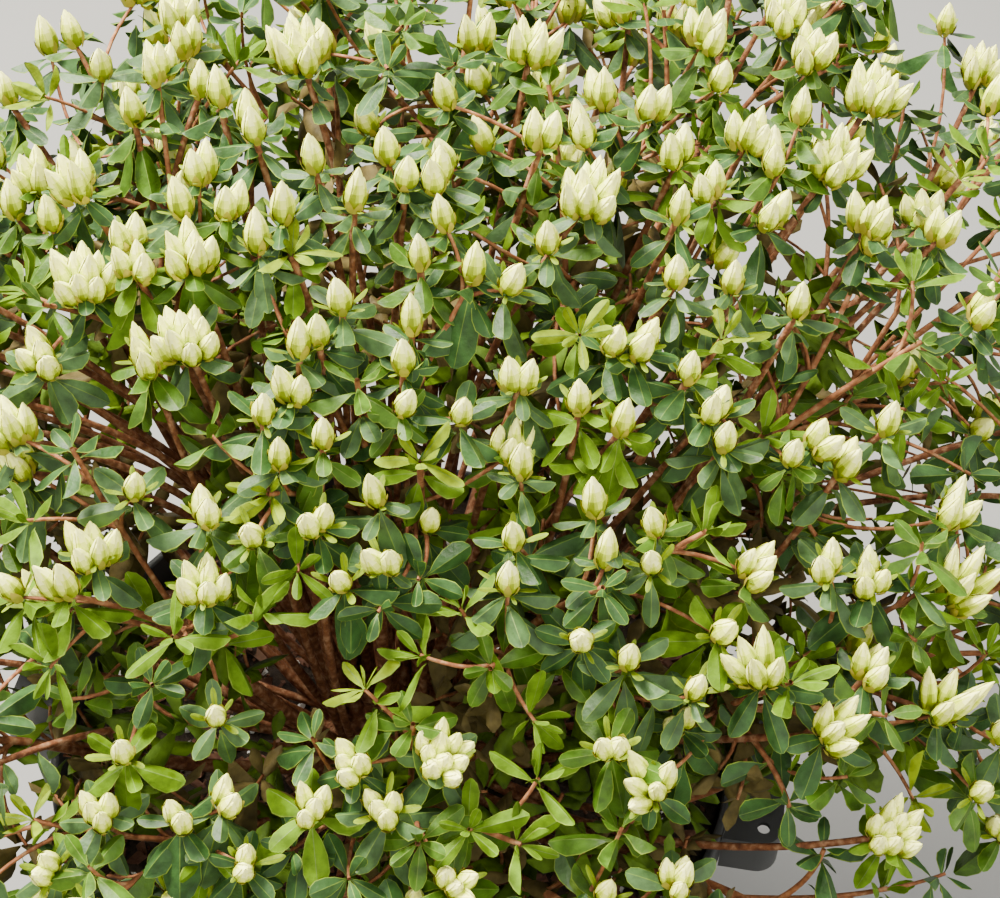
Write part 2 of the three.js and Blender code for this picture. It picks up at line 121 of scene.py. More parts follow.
# The stream of numbers that the frame's source draws from
STREAM_FACTOR = 1664525
STREAM_STEP = 1013904223
STREAM_SIZE = 2**32
STREAM_SKIP = 4

FAN_CENTRE = np.array([0.0, 0.0, COMPOST_TOP + STOOL_HEIGHT * START_SHARE])


def unit(vectors):
    return vectors / np.linalg.norm(vectors, axis=-1, keepdims=True)


def lerp(a, b, share):
    return a + (b - a) * share


def seeded(seed):
    """A stream of numbers from 0 to 1, the same as the frame's source draws."""
    state = seed

    def draw():
        nonlocal state
        state = (state * STREAM_FACTOR + STREAM_STEP) % STREAM_SIZE
        return state / STREAM_SIZE

    for _ in range(STREAM_SKIP):
        draw()
    return draw


def square_to(direction):
    """Two directions square to a first one and to each other."""
    up = np.array([0.0, 1.0, 0.0]) if abs(direction[2]) > STEEP else UP
    side = unit(np.cross(up, direction))
    return side, np.cross(direction, side)


def away_from(axis, azimuth):
    """A direction square to an axis, at an angle round it."""
    side, over = square_to(axis)
    return side * math.cos(azimuth) + over * math.sin(azimuth)


# Curves

def curve_points(line, shares):
    start, bend, end = line
    share = np.asarray(shares, float)[..., None]
    return (1 - share) ** 2 * start + 2 * share * (1 - share) * bend + share**2 * end


def curve_ways(line, shares):
    start, bend, end = line
    share = np.asarray(shares, float)[..., None]
    return unit((1 - share) * (bend - start) + share * (end - bend))


# Crown outline

def crown_share(point):
    offset = point - CROWN_CENTRE
    return (offset - UP * CROWN_RISE * offset[1]) / CROWN_HALF


def outline_point(direction):
    """The end of the crown's reach along a direction, no lower than the lowest foliage."""
    start = crown_share(FAN_CENTRE)
    step = crown_share(FAN_CENTRE + direction) - start
    a = step @ step
    b = start @ step
    c = start @ start - 1
    far = (-b + math.sqrt(b * b - a * c)) / a
    x, y, z = start + step * far
    dip = 1 - FRONT_DIP * max(0, -y) * max(0, z)
    swell = 1 + CORNER_SWELL * max(0, x) * max(0, y)
    point = FAN_CENTRE + direction * far * dip * swell
    point[2] = max(point[2], LOWEST_REACH_Z)
    return point


def set_out(index, count):
    height = 1 - ((index + 0.5) / count) * (1 - LOWEST_STEM)
    azimuth = FIRST_AZIMUTH + index * GOLDEN_ANGLE
    level = math.sqrt(1 - height * height)
    return np.array([level * math.cos(azimuth), level * math.sin(azimuth), height])


def reach_direction(index, count):
    """The direction of one of a number of points spread evenly over the crown."""
    out = set_out(index, count)
    aim = CROWN_CENTRE + out * CROWN_HALF + UP * CROWN_RISE * out[1] * CROWN_HALF[1]
    aim[2] = max(aim[2], LOWEST_REACH_Z)
    return unit(aim - FAN_CENTRE)


# Stems

def plan_stem(index):
    out = set_out(index, STEM_COUNT)
    direction = reach_direction(index, STEM_COUNT)
    tip = lerp(FAN_CENTRE, outline_point(direction), STEM_SHARE)
    tip[2] = max(tip[2], LOWEST_TIP_Z)
    level = math.hypot(out[0], out[1])
    slope = max(out[2], LEAST_SLOPE)
    across = math.sqrt(1 - slope * slope) / level
    lift = np.array([out[0] * across, out[1] * across, slope])
    foot = lift * [STOOL_RADIUS, STOOL_RADIUS, STOOL_HEIGHT] + UP * COMPOST_TOP + STUB_REACH * lift
    draw = seeded(STEM_SEED + STEM_SEED_STEP * index)
    span = np.linalg.norm(tip - foot)
    bend = lerp(foot, tip, 0.5)
    bend[2] -= span * STEM_SAG * level
    bend += np.array([-out[1], out[0], 0]) * span * STEM_SWAY * (2 * draw() - 1)
    bend[2] = max(bend[2], LOWEST_STEM_Z)
    return {"index": index, "direction": direction, "line": (foot, bend, tip)}


stems = [plan_stem(index) for index in range(STEM_COUNT)]
stem_ways = np.array([stem["direction"] for stem in stems])
stem_lines = np.array([curve_points(stem["line"], np.linspace(0, 1, STEM_PROBES + 1)) for stem in stems])


def in_own_space(points, own):
    across = np.delete(stem_ways[own["index"]] - stem_ways, own["index"], axis=0)
    return (points - FAN_CENTRE) @ across.T > SPACE_MARGIN * np.linalg.norm(across, axis=1)


def clear_of_pot(points):
    outward = np.hypot(points[:, 0], points[:, 1])
    return (points[:, 2] > POT_HEIGHT + POT_MARGIN) | (outward > RIM_RADIUS + EAR_REACH + POT_MARGIN)


def gap_to_stems(points, own):
    lines = np.delete(stem_lines, own["index"], axis=0)
    start = lines[:, :-1].reshape(-1, 3)
    along = (lines[:, 1:] - lines[:, :-1]).reshape(-1, 3)
    radii = np.tile(np.linspace(*STEM_RADII, STEM_PROBES + 1)[:-1], len(lines))
    offset = points[:, None] - start
    share = np.clip((offset * along).sum(-1) / (along * along).sum(-1), 0, 1)
    gaps = np.linalg.norm(offset - share[..., None] * along, axis=-1) - radii
    return gaps.min(axis=1)


def in_clearing(point):
    along = CLEARING_TO - CLEARING_FROM
    share = np.clip((point - CLEARING_FROM) @ along / (along @ along), 0, 1)
    return np.linalg.norm(point - CLEARING_FROM - share * along) < CLEARING_RADIUS


def is_clear(points, own):
    free = in_own_space(points, own).all() and clear_of_pot(points).all()
    return free and (gap_to_stems(points, own) > LIMB_MARGIN).all()


def space_angle(own):
    """Half the angle between a stem and its neighbours."""
    angles = np.sort(np.arccos(np.clip(stem_ways @ own["direction"], -1, 1)))
    return angles[1:NEIGHBOURS + 1].mean() / 2


# Twigs

def new_twig(line, size, stem, buds=None, inner=False):
    return {"line": line, "size": size, "stem": stem, "buds": buds, "inner": inner}


def main_twig(stem, draw):
    way = curve_ways(stem["line"], 1.0)
    root = stem["line"][2] + way * GAP
    tip = lerp(FAN_CENTRE, outline_point(stem["direction"]), MAIN_DEPTH)
    bend = root + way * MAIN_BEND * np.linalg.norm(tip - root)
    return new_twig((root, bend, tip), lerp(*SIZES, draw()), stem)


def side_twigs(stem, main, draw):
    spread = math.tan(space_angle(stem)) * TWIG_SPREAD
    turn = draw() * TURN
    for k in range(TWIGS_PER_MASS):
        angle = turn + k * TURN / TWIGS_PER_MASS + TWIG_JITTER * (draw() - 0.5)
        width = spread * (LEAST_SPREAD + TWIG_JITTER * draw())
        depth = lerp(*TWIG_DEPTHS, draw())
        size = lerp(*SIZES, draw())
        fork = lerp(*FORKS, k / (TWIGS_PER_MASS - 1))
        start = curve_points(main["line"], fork)
        for share in SPREAD_TRIES:
            direction = unit(stem["direction"] + share * width * away_from(stem["direction"], angle))
            tip = lerp(FAN_CENTRE, outline_point(direction), depth)
            bend = lerp(start, tip, 0.5) + TWIG_BEND * curve_ways(main["line"], fork)
            line = (start, bend, tip)
            probes = curve_points(line, np.linspace(0, 1, TWIG_PROBES + 1)[2:])
            if not in_clearing(tip) and is_clear(probes, stem):
                yield new_twig(line, size, stem)
                break


# Finer shoots, by the same rule with many more points spread over the crown
SHOOT_COUNT = 1500
SHOOT_SEED = 1777
SHOOT_DEPTHS = (0.8, 0.97)
INNER_DEPTHS = (0.45, 0.8)
INNER_SHARE = 0.55
INNER_SIZE = 0.9
LEAST_TIP_GAP = 22
FORK_SHARES = np.linspace(0.05, 0.9, 14)
STEM_FORK_SHARES = np.linspace(0.55, 0.95, 6)
FORK_LEAN = 0.75
FORK_COST = 1.2
SHOOT_BOW = 0.27
SHOOT_SAG = 0.1

# Slender stems that rise from the stool
LONG_FOOT_SHARE = 0.6
LONG_FOOT_RISE = 8
LONG_SWAY = 0.08
LONG_BIAS = 0.6
CROSSING_SHARES = (0.3, 0.8)

# Buds on a tip: a number of them, a full head, or leaves alone with or without a young rosette
BARE = -1
ROSETTE = 0
FEW = 4
HEAD = 6
OPENING = 5
FULL_HEAD = 10

# Tips that the photograph shows: the pixel at the base of their buds, and the buds on them
MARKED_TIPS = (
    (68, 42, 1), (112, 90, FEW), (135, 122, 1), (208, 68, 1), (221, 105, 1), (8, 100, 1), (38, 185, FEW),
    (90, 185, FEW), (16, 215, 1), (52, 228, 1), (84, 285, FULL_HEAD), (135, 272, FEW), (127, 245, 2),
    (186, 345, FULL_HEAD), (150, 362, FEW), (42, 365, FEW), (12, 435, HEAD), (256, 140, 1), (227, 212, 2),
    (184, 215, 1), (283, 220, 1), (190, 262, HEAD), (258, 250, 1), (315, 170, 1), (354, 208, 1),
    (388, 160, 1), (388, 60, 2), (406, 187, 1), (440, 182, 2), (446, 228, 1), (420, 266, 1), (457, 290, 1),
    (412, 331, 1), (404, 370, 1), (402, 412, 1), (460, 420, 1), (342, 310, 1), (319, 343, 1), (299, 354, 1),
    (292, 395, 2), (263, 420, 1), (323, 445, 1), (280, 465, 1), (652, 62, FEW), (810, 58, HEAD),
    (872, 100, FULL_HEAD), (717, 88, 1), (746, 142, FEW), (775, 165, 2), (679, 160, 2), (581, 140, 2),
    (542, 145, 2), (677, 220, 1), (712, 195, 2), (767, 222, 2), (675, 285, 1), (731, 290, 1), (796, 315, 1),
    (906, 270, 1), (975, 320, 2), (520, 388, 2), (579, 410, 1), (610, 350, 1), (637, 350, 2), (687, 380, 1),
    (620, 432, 1), (710, 415, 2), (723, 448, 1), (790, 462, 1), (817, 445, 2), (885, 432, 1), (902, 370, 2),
    (508, 290, 1), (94, 557, HEAD), (204, 590, HEAD), (205, 520, 2), (254, 540, 1), (319, 528, 2),
    (377, 503, 1), (446, 540, 1), (344, 586, 1), (383, 565, 2), (19, 597, 1), (77, 586, 2), (217, 720, 1),
    (125, 757, 1), (100, 815, FEW), (171, 822, 2), (223, 808, 2), (310, 812, FEW), (246, 866, 2),
    (354, 766, FEW), (385, 811, FEW), (442, 757, FULL_HEAD), (454, 885, FEW), (52, 870, 2), (521, 474, 1),
    (595, 513, 1), (656, 532, 1), (652, 568, 1), (604, 565, 1), (514, 545, 1), (508, 590, 1), (581, 643, 1),
    (627, 665, 1), (750, 575, FEW), (871, 582, FEW), (830, 572, 2), (952, 516, FEW), (955, 597, OPENING),
    (942, 712, OPENING), (692, 695, 1), (758, 675, OPENING), (610, 750, 2), (650, 790, OPENING),
    (675, 885, FEW), (365, 690, ROSETTE), (420, 462, ROSETTE), (722, 340, ROSETTE), (292, 255, ROSETTE),
    (580, 335, ROSETTE), (22, 805, ROSETTE), (960, 180, ROSETTE), (298, 572, BARE), (418, 580, BARE),
    (460, 608, BARE), (378, 612, BARE), (262, 608, BARE), (420, 655, BARE),
)

# Tips whose stem shows in the photograph: the tip's pixel, a pixel that the stem crosses, the buds
MARKED_STEMS = (
    ((300, 55), (369, 317), FULL_HEAD), ((180, 20), (158, 250), HEAD), ((200, 95), (165, 233), 1),
    ((405, -30), (400, 150), HEAD), ((530, 55), (500, 208), HEAD), ((634, -70), (614, 146), HEAD),
    ((735, -40), (698, 150), HEAD), ((590, 200), (500, 337), FULL_HEAD), ((1040, 110), (917, 262), HEAD),
    ((980, 75), (900, 233), HEAD), ((938, 240), (770, 400), 2), ((868, 225), (808, 329), FEW),
    ((834, 165), (746, 283), FULL_HEAD), ((867, 675), (754, 770), FEW), ((892, 835), (708, 845), FULL_HEAD),
    ((-60, 330), (120, 425), HEAD), ((-50, 390), (150, 450), HEAD), ((-80, 655), (142, 684), HEAD),
    ((-60, 790), (158, 724), FEW), ((1050, 420), (760, 520), HEAD), ((1060, 500), (700, 545), HEAD),
    ((830, 735), (700, 740), OPENING), ((250, 128), (262, 330), 1), ((840, 470), (771, 561), 2),
    ((-90, 300), (110, 385), 2), ((-110, 345), (95, 408), FEW), ((-70, 430), (140, 474), 1),
    ((-40, 290), (175, 432), FEW), ((-110, 430), (85, 442), 2), ((-20, 235), (160, 378), 1),
    ((-130, 390), (120, 446), 1), ((-100, 480), (110, 486), 2),
)

# Open places in and round the crown: the pixel, and how far round it no shoot ends
OPEN_PLACES = (
    ((800, 850), 75), ((965, 245), 40), ((12, 770), 45), ((905, 20), 40), ((255, 175), 25),
    ((75, 415), 42), ((150, 445), 48), ((300, 680), 58), ((555, 865), 32),
)
MARK_REACH = 22
MARKED_DEPTH = 0.93
SIGHT_DEPTHS = range(450, 1500, 4)
STRAY_BUD_SHARES = (0.5, 0.15)
STRAY_FROM = 280
FREE_BARE_SHARE = 0.6
LONG_ABOVE = 480
LONG_SHARE = 0.75


def seen_at(point):
    """The pixel of the photograph at which the camera sees a point."""
    arm = point - CAMERA_PLACE
    scale = FOCAL / (arm @ CAMERA_AHEAD)
    return np.array([PICTURE_WIDTH / 2 + scale * arm[0], PICTURE_HEIGHT / 2 - scale * (arm @ CAMERA_ABOVE)])


def camera_ray(pixel):
    """The direction in which the camera sees a pixel of the photograph."""
    x = (pixel[0] - PICTURE_WIDTH / 2) / FOCAL
    y = (PICTURE_HEIGHT / 2 - pixel[1]) / FOCAL
    return unit(np.array([x, 0, 0]) + CAMERA_AHEAD + y * CAMERA_ABOVE)


def in_picture(pixel):
    return 0 < pixel[0] < PICTURE_WIDTH and 0 < pixel[1] < PICTURE_HEIGHT


def stray_share(pixel):
    """How many of the tips with no mark carry buds: more of them at the top of the picture."""
    return STRAY_BUD_SHARES[0 if pixel[1] < STRAY_FROM else 1]


def in_open_place(pixel):
    return any(np.hypot(*(pixel - np.array(place))) < reach for place, reach in OPEN_PLACES)


def marked_tip(pixel):
    """The first point seen at a pixel that is as deep in the crown as the outer tips, or the nearest."""
    ray = camera_ray(pixel)
    best, least = None, math.inf
    for far in SIGHT_DEPTHS:
        arm = CAMERA_PLACE + ray * far - FAN_CENTRE
        share = np.linalg.norm(arm) / np.linalg.norm(outline_point(unit(arm)) - FAN_CENTRE)
        if share < MARKED_DEPTH:
            return FAN_CENTRE + arm
        if share < least:
            best, least = arm, share
    return FAN_CENTRE + best * MARKED_DEPTH / least


def own_stem(point):
    """The stem whose mass has a point in its space."""
    return stems[int(np.argmax(stem_ways @ (point - FAN_CENTRE)))]


def grow_shoot(tip, size, by_stem, buds, inner=False):
    """A shoot to a tip from the twig or stem of its mass that it can leave at the easiest angle."""
    stem = own_stem(tip)
    routes = [(twig["line"], FORK_SHARES) for twig in by_stem[stem["index"]]]
    routes.append((stem["line"], STEM_FORK_SHARES))
    places = np.concatenate([curve_points(*route) for route in routes])
    ways = np.concatenate([curve_ways(*route) for route in routes])
    arms = tip - places
    lengths = np.linalg.norm(arms, axis=1)
    lean = (arms * ways).sum(1) / lengths
    best = int(np.argmin(lengths * (1 + FORK_COST * abs(lean - FORK_LEAN))))
    start, way, length = places[best], ways[best], lengths[best]
    bend = start + (way + arms[best] / length) * SHOOT_BOW * length - UP * SHOOT_SAG * length
    return new_twig((start, bend, tip), size, stem, buds, inner)


def stool_start(tip):
    """A place on the stool on the side of a tip."""
    outward = unit((tip - FAN_CENTRE) * [1, 1, 0])
    return outward * STOOL_RADIUS * LONG_FOOT_SHARE + UP * (COMPOST_TOP + LONG_FOOT_RISE)


def grow_long_stem(tip, buds, draw):
    """A slender stem from the stool to a tip, with a slight bow."""
    start = stool_start(tip)
    arm = tip - start
    side, over = square_to(unit(arm))
    sway = np.linalg.norm(arm) * LONG_SWAY
    bend = lerp(start, tip, 0.5) + side * sway * (2 * draw() - 1) - over * sway * (2 * draw() - LONG_BIAS)
    return new_twig((start, bend, tip), 1, own_stem(tip), buds)


def grow_marked_stem(tip, pixel, buds):
    """A slender stem from the stool to a tip that is seen to cross a pixel on its way."""
    start = stool_start(tip)
    arm = tip - start
    ray = camera_ray(pixel)
    across = np.cross(ray, arm)
    share = np.cross(ray, CAMERA_PLACE - start) @ across / (across @ across)
    share = float(np.clip(share, *CROSSING_SHARES))
    near = start + share * arm
    crossed = CAMERA_PLACE + ray * ((near - CAMERA_PLACE) @ ray)
    bend = (crossed - (1 - share) ** 2 * start - share**2 * tip) / (2 * share * (1 - share))
    bend[2] = max(bend[2], LOWEST_STEM_Z)
    return new_twig((start, bend, tip), 1, own_stem(tip), buds)


def settle_buds(twigs, marks, draw):
    """Give the twigs that end at a marked pixel the buds of that mark, and the others few."""
    for twig in twigs:
        pixel = seen_at(twig["line"][2])
        if not in_picture(pixel):
            continue
        gaps = [math.hypot(pixel[0] - x, pixel[1] - y) for x, y, _ in marks]
        if gaps and min(gaps) < MARK_REACH:
            twig["buds"] = marks.pop(int(np.argmin(gaps)))[2]
        elif draw() > stray_share(pixel):
            twig["buds"] = BARE


def grow_twigs():
    """The main twig of each mass, and those round it, as in the frame."""
    mains, sides = [], []
    for stem in stems:
        draw = seeded(MASS_SEED + MASS_SEED_STEP * stem["index"])
        mains.append(main_twig(stem, draw))
        sides.extend(side_twigs(stem, mains[-1], draw))
    return mains, sides


def grow_marked(marks, by_stem, draw):
    """What carries the marked tips: shoots, and slender stems from the stool."""
    shoots = []
    long_stems = [grow_marked_stem(marked_tip(tip), low, buds) for tip, low, buds in MARKED_STEMS]
    for x, y, buds in marks:
        tip = marked_tip((x, y))
        if y < LONG_ABOVE and draw() < LONG_SHARE:
            long_stems.append(grow_long_stem(tip, buds, draw))
        else:
            shoots.append(grow_shoot(tip, 1, by_stem, buds))
    return shoots, long_stems


def grow_free_shoots(taken, by_stem, draw):
    """Shoots spread evenly over the crown, outside and inside, wherever there is room."""
    for index in range(SHOOT_COUNT):
        direction = reach_direction(index, SHOOT_COUNT)
        inner = draw() < INNER_SHARE
        depth = lerp(*(INNER_DEPTHS if inner else SHOOT_DEPTHS), draw())
        size = lerp(*SIZES, draw()) * (INNER_SIZE if inner else 1)
        tip = lerp(FAN_CENTRE, outline_point(direction), depth)
        pixel = seen_at(tip)
        crowded = np.linalg.norm(np.array(taken) - tip, axis=1).min() < LEAST_TIP_GAP
        if crowded or in_clearing(tip) or in_open_place(pixel) or not is_clear(tip[None], own_stem(tip)):
            continue
        bare = inner or (in_picture(pixel) and draw() > stray_share(pixel))
        if bare and not inner and draw() > FREE_BARE_SHARE:
            continue
        taken.append(tip)
        yield grow_shoot(tip, size, by_stem, BARE if bare else None, inner)


def grow_crown():
    mains, sides = grow_twigs()
    by_stem = [[twig for twig in mains + sides if twig["stem"] is stem] for stem in stems]
    draw = seeded(SHOOT_SEED)
    marks = list(MARKED_TIPS)
    settle_buds(mains + sides, marks, draw)
    shoots, long_stems = grow_marked(marks, by_stem, draw)
    taken = [twig["line"][2] for twig in mains + sides + shoots + long_stems]
    shoots.extend(grow_free_shoots(taken, by_stem, draw))
    return mains, sides, shoots, long_stems


# Meshes from arrays

def grid_faces(rows, columns):
    corner = (np.arange(rows - 1)[:, None] * columns + np.arange(columns - 1)).reshape(-1)
    return np.stack([corner, corner + 1, corner + columns + 1, corner + columns], axis=1)


def as_grids(points, rows, columns):
    """Copies of a grid: their points, smooth normals so that no cut between pieces shows, and faces."""
    grid = points.reshape(len(points), rows, columns, 3)
    normals = np.cross(np.gradient(grid, axis=2), np.gradient(grid, axis=1))
    return points, unit(normals).reshape(points.shape), grid_faces(rows, columns)


def columns_of(rows):
    return [np.array(column) for column in zip(*rows)]


def laid_out(base, *arms):
    """Points of many copies: a base for each, and for each arm a direction and how far along it."""
    points = base[:, None, None]
    for way, reach in arms:
        points = points + reach[..., None] * way[:, None, None]
    return points.reshape(len(base), -1, 3)


def polar(radius, angle, height):
    """Points from their distance from the pot's axis, their angle round it and their height."""
    radius, angle, height = np.broadcast_arrays(radius, angle, height)
    return np.stack([radius * np.cos(angle), radius * np.sin(angle), height], -1)


def scatter(points, faces, normals=None):
    """Copies of some faces of a template, one for each row of points, as one shape."""
    used, local = np.unique(faces, return_inverse=True)
    local = local.reshape(faces.shape)
    start = (np.arange(len(points)) * len(used))[:, None, None]
    shape = points[:, used].reshape(-1, 3), (local[None] + start).reshape(-1, faces.shape[1])
    return shape if normals is None else (*shape, normals[:, used].reshape(-1, 3))


def join(shapes):
    """Several shapes as one."""
    starts = np.cumsum([0] + [len(points) for points, _ in shapes[:-1]])
    points = np.concatenate([points for points, _ in shapes])
    return points, np.concatenate([faces + start for (_, faces), start in zip(shapes, starts)])


def add_object(name, data):
    thing = bpy.data.objects.new(name, data)
    bpy.context.scene.collection.objects.link(thing)
    return thing


def declare(piece, replaced=()):
    """Let a piece ride on the plant's one body, and hide the nodes that it stands for."""
    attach(piece, "root")
    if replaced:
        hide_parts(*replaced)


def add_piece(name, shape, material, replaced=(), smooth=True):
    """A mesh object of four-sided faces."""
    points, faces = shape[:2]
    mesh = bpy.data.meshes.new(name)
    mesh.vertices.add(len(points))
    mesh.vertices.foreach_set("co", (points * MM).astype(np.float32).reshape(-1))
    mesh.loops.add(faces.size)
    mesh.loops.foreach_set("vertex_index", faces.astype(np.int32).reshape(-1))
    mesh.polygons.add(len(faces))
    mesh.polygons.foreach_set("loop_start", np.arange(0, faces.size, faces.shape[1], dtype=np.int32))
    mesh.polygons.foreach_set("use_smooth", np.full(len(faces), smooth))
    mesh.update(calc_edges=True)
    if len(shape) == 3:
        mesh.normals_split_custom_set_from_vertices(shape[2].astype(np.float32))
    mesh.materials.append(material)
    declare(add_object(name, mesh), replaced)


# Materials: stops of colour, and a relief with its scale and its depth in mm
GLOSS_SPREAD = 0.08
RELIEF_DETAIL = 3
PETAL_STRETCH = (1, 1, 0.3)
PETAL_GLOW = 0.2
PETAL_GLOW_RADII = (0.004, 0.004, 0.002)
LEAF_SHADES = ((0.34, 0.62), (0.5, 1), (0.66, 1.36))
MATT = {"roughness": 0.6, "sheen": 0.1}
SURFACES = {
    "bud_scale": dict(
        stops=[(0.35, (0.24, 0.24, 0.012)), (0.65, (0.44, 0.35, 0.03))],
        scale=120, roughness=0.6, relief=(900, 0.1)),
    "bark": dict(
        stops=[(0.3, (0.075, 0.023, 0.009)), (0.5, (0.185, 0.066, 0.025)), (0.72, (0.36, 0.2, 0.105))],
        scale=260, roughness=0.72, relief=(900, 0.5), detail=6, sheen=0.25),
    "young_bark": dict(
        stops=[(0.3, (0.12, 0.038, 0.014)), (0.52, (0.24, 0.09, 0.033)), (0.75, (0.37, 0.21, 0.1))],
        scale=260, roughness=0.72, relief=(900, 0.3), detail=6, sheen=0.25),
    "pot_plastic": dict(
        stops=[(0.3, (0.022, 0.0225, 0.023)), (0.7, (0.033, 0.034, 0.035))],
        scale=55, roughness=0.5, relief=(1400, 0.06)),
    "compost": dict(
        stops=[(0.3, (0.018, 0.011, 0.007)), (0.6, (0.05, 0.032, 0.02)), (0.8, (0.09, 0.06, 0.036))],
        scale=300, roughness=0.9, relief=(700, 1.2), detail=8),
    "bark_chip": dict(
        stops=[(0.3, (0.08, 0.03, 0.016)), (0.55, (0.18, 0.075, 0.04)), (0.8, (0.3, 0.16, 0.095))],
        scale=180, roughness=0.85, relief=(800, 0.4), detail=6),
    "perlite": dict(
        stops=[(0.3, (0.55, 0.53, 0.5)), (0.7, (0.8, 0.79, 0.76))],
        scale=200, roughness=0.9, relief=(900, 0.3)),
    "dry_leaf": dict(
        stops=[(0.3, (0.1, 0.04, 0.02)), (0.7, (0.26, 0.13, 0.065))],
        scale=90, roughness=0.8, relief=(700, 0.3)),
    "floor": dict(
        stops=[(0.3, (0.158, 0.158, 0.155)), (0.7, (0.17, 0.17, 0.167))],
        scale=3, roughness=0.85, relief=(40, 0.3)),
}


def add_node(nodes, kind, values):
    """A node with some of its sockets set."""
    node = nodes.new(kind)
    for socket, value in values.items():
        node.inputs[socket].default_value = value
    return node


def noise_node(nodes, links, scale, detail, stretch):
    place = nodes.new("ShaderNodeTexCoord")
    mapping = add_node(nodes, "ShaderNodeMapping", {"Scale": stretch})
    noise = add_node(nodes, "ShaderNodeTexNoise", {"Scale": scale, "Detail": detail})
    links.new(place.outputs["Object"], mapping.inputs["Vector"])
    links.new(mapping.outputs["Vector"], noise.inputs["Vector"])
    return noise


def mottled(name, stops, scale, roughness, relief, detail=4, stretch=(1, 1, 1), sheen=0.5):
    """A surface whose colour and gloss vary by noise, with a finer noise as relief."""
    material = bpy.data.materials.new(name)
    material.use_nodes = True
    nodes, links = material.node_tree.nodes, material.node_tree.links
    shader = nodes["Principled BSDF"]
    shader.inputs["Specular IOR Level"].default_value = sheen
    coarse = noise_node(nodes, links, scale, detail, stretch)
    ramp = nodes.new("ShaderNodeValToRGB")
    while len(ramp.color_ramp.elements) < len(stops):
        ramp.color_ramp.elements.new(0.5)
    for element, (position, colour) in zip(ramp.color_ramp.elements, stops):
        element.position = position
        element.color = (*colour, 1)
    span = {"To Min": roughness - GLOSS_SPREAD, "To Max": roughness + GLOSS_SPREAD}
    gloss = add_node(nodes, "ShaderNodeMapRange", span)
    relief_scale, depth = relief
    fine = noise_node(nodes, links, relief_scale, RELIEF_DETAIL, stretch)
    bump = add_node(nodes, "ShaderNodeBump", {"Strength": 1, "Distance": depth * MM})
    for source, output, target, socket in (
            (coarse, "Fac", ramp, "Fac"), (ramp, "Color", shader, "Base Color"),
            (coarse, "Fac", gloss, "Value"), (gloss, "Result", shader, "Roughness"),
            (fine, "Fac", bump, "Height"), (bump, "Normal", shader, "Normal")):
        links.new(source.outputs[output], target.inputs[socket])
    return material


def surface(name):
    return mottled(name, **SURFACES[name])


def leaf_surface(name, colour, roughness=0.5, sheen=0.22):
    stops = [(place, tuple(channel * share for channel in colour)) for place, share in LEAF_SHADES]
    return mottled(name, stops, scale=130, roughness=roughness, relief=(420, 0.35), sheen=sheen)


def petal_surface(name, low, high):
    stops = [(0.35, low), (0.65, high)]
    material = mottled(name, stops, scale=130, roughness=0.5, relief=(800, 0.12),
                       stretch=PETAL_STRETCH, sheen=0.12)
    shader = material.node_tree.nodes["Principled BSDF"]
    shader.inputs["Subsurface Weight"].default_value = PETAL_GLOW
    shader.inputs["Subsurface Radius"].default_value = PETAL_GLOW_RADII
    return material


# Leaves: their outline from root to tip, and what their columns of faces show
LEAF_ROWS = np.array([0, 0.1, 0.27, 0.5, 0.75, 0.92, 1])
LEAF_OUTLINE = np.array([0.05, 0.2, 0.64, 0.95, 1, 0.68, 0.16])
STALK_HALF = 0.5
STALK_FADE = 0.8
RIB_HALF = 0.28
RIB_FADE = 0.6
RIB_MOST = 0.3
RIB_DEPTH = 0.45
EDGE_WIDTH = 0.27
EDGE_MOST = 0.35
BLADE, RIB, EDGE = "blade", "rib", "edge"
LEAF_CELLS = (EDGE, BLADE, RIB, BLADE, EDGE)
LEAF_PARTS = np.tile(LEAF_CELLS, len(LEAF_ROWS) - 1)
LEAF_COLUMNS = len(LEAF_CELLS) + 1
PLAIN_ROWS = [0, 2, 3, 4, 6]
PLAIN_COLUMNS = [0, 2, LEAF_COLUMNS - 1]

DARK, PAINTED_SHEEN_GREY, MIDDLE, FRESH, YOUNG, OLD = "dark", "grey", "middle", "fresh", "young", "old"
SHADE, DEEP, LEAFY = "shade", "deep", "leafy"
LEAF_COLOURS = {
    DARK: (0.022, 0.061, 0.012),
    # The grey kind: a lighter, bluer green that paints in the soft sheen of light on the leaves (painted
    # sheen).
    PAINTED_SHEEN_GREY: (0.037, 0.079, 0.022),
    MIDDLE: (0.038, 0.09, 0.003),
    FRESH: (0.07, 0.138, 0.001),
    YOUNG: (0.135, 0.19, 0.0),
}
INNER_COLOURS = {
    SHADE: (0.085, 0.064, 0.02),
    DEEP: (0.062, 0.112, 0.01),
    LEAFY: (0.08, 0.145, 0.002),
}
SPRAY_KINDS = ((0.45, DARK), (0.74, PAINTED_SHEEN_GREY), (0.92, MIDDLE), (1, FRESH))
BARE_KINDS = ((0.24, DARK), (0.54, MIDDLE), (0.92, FRESH), (1, YOUNG))
INNER_KINDS = ((0.35, SHADE), (0.78, DEEP), (1, LEAFY))
RIB_COLOUR = (0.08, 0.135, 0.015)
# Leaf margins: pale as their fine hairs are, and lighter still as a painted highlight of light caught by
# the hairs.
EDGE_HAIR_AND_HIGHLIGHT_COLOUR = (0.13, 0.19, 0.02)

# Forms of leaves: their width as a share of their length, their bend and their fold
FULL_FORM = ((0.36, 0.46), (0.25, 0.9), (0.3, 1.3))
YOUNG_FORM = ((0.26, 0.35), (0.25, 0.9), (0.3, 1.3))
HANGING_FORM = ((0.36, 0.46), (0.1, 0.4), (0.3, 1))
LOWER_FORM = ((0.36, 0.46), (0.3, 0.9), (0.3, 1))
FALLEN_FORM = ((0.36, 0.46), (0.4, 1.4), (-1.5, 1.5))
BRACT_FORM = ((0.2, 0.27), (0.2, 0.8), 0.5)

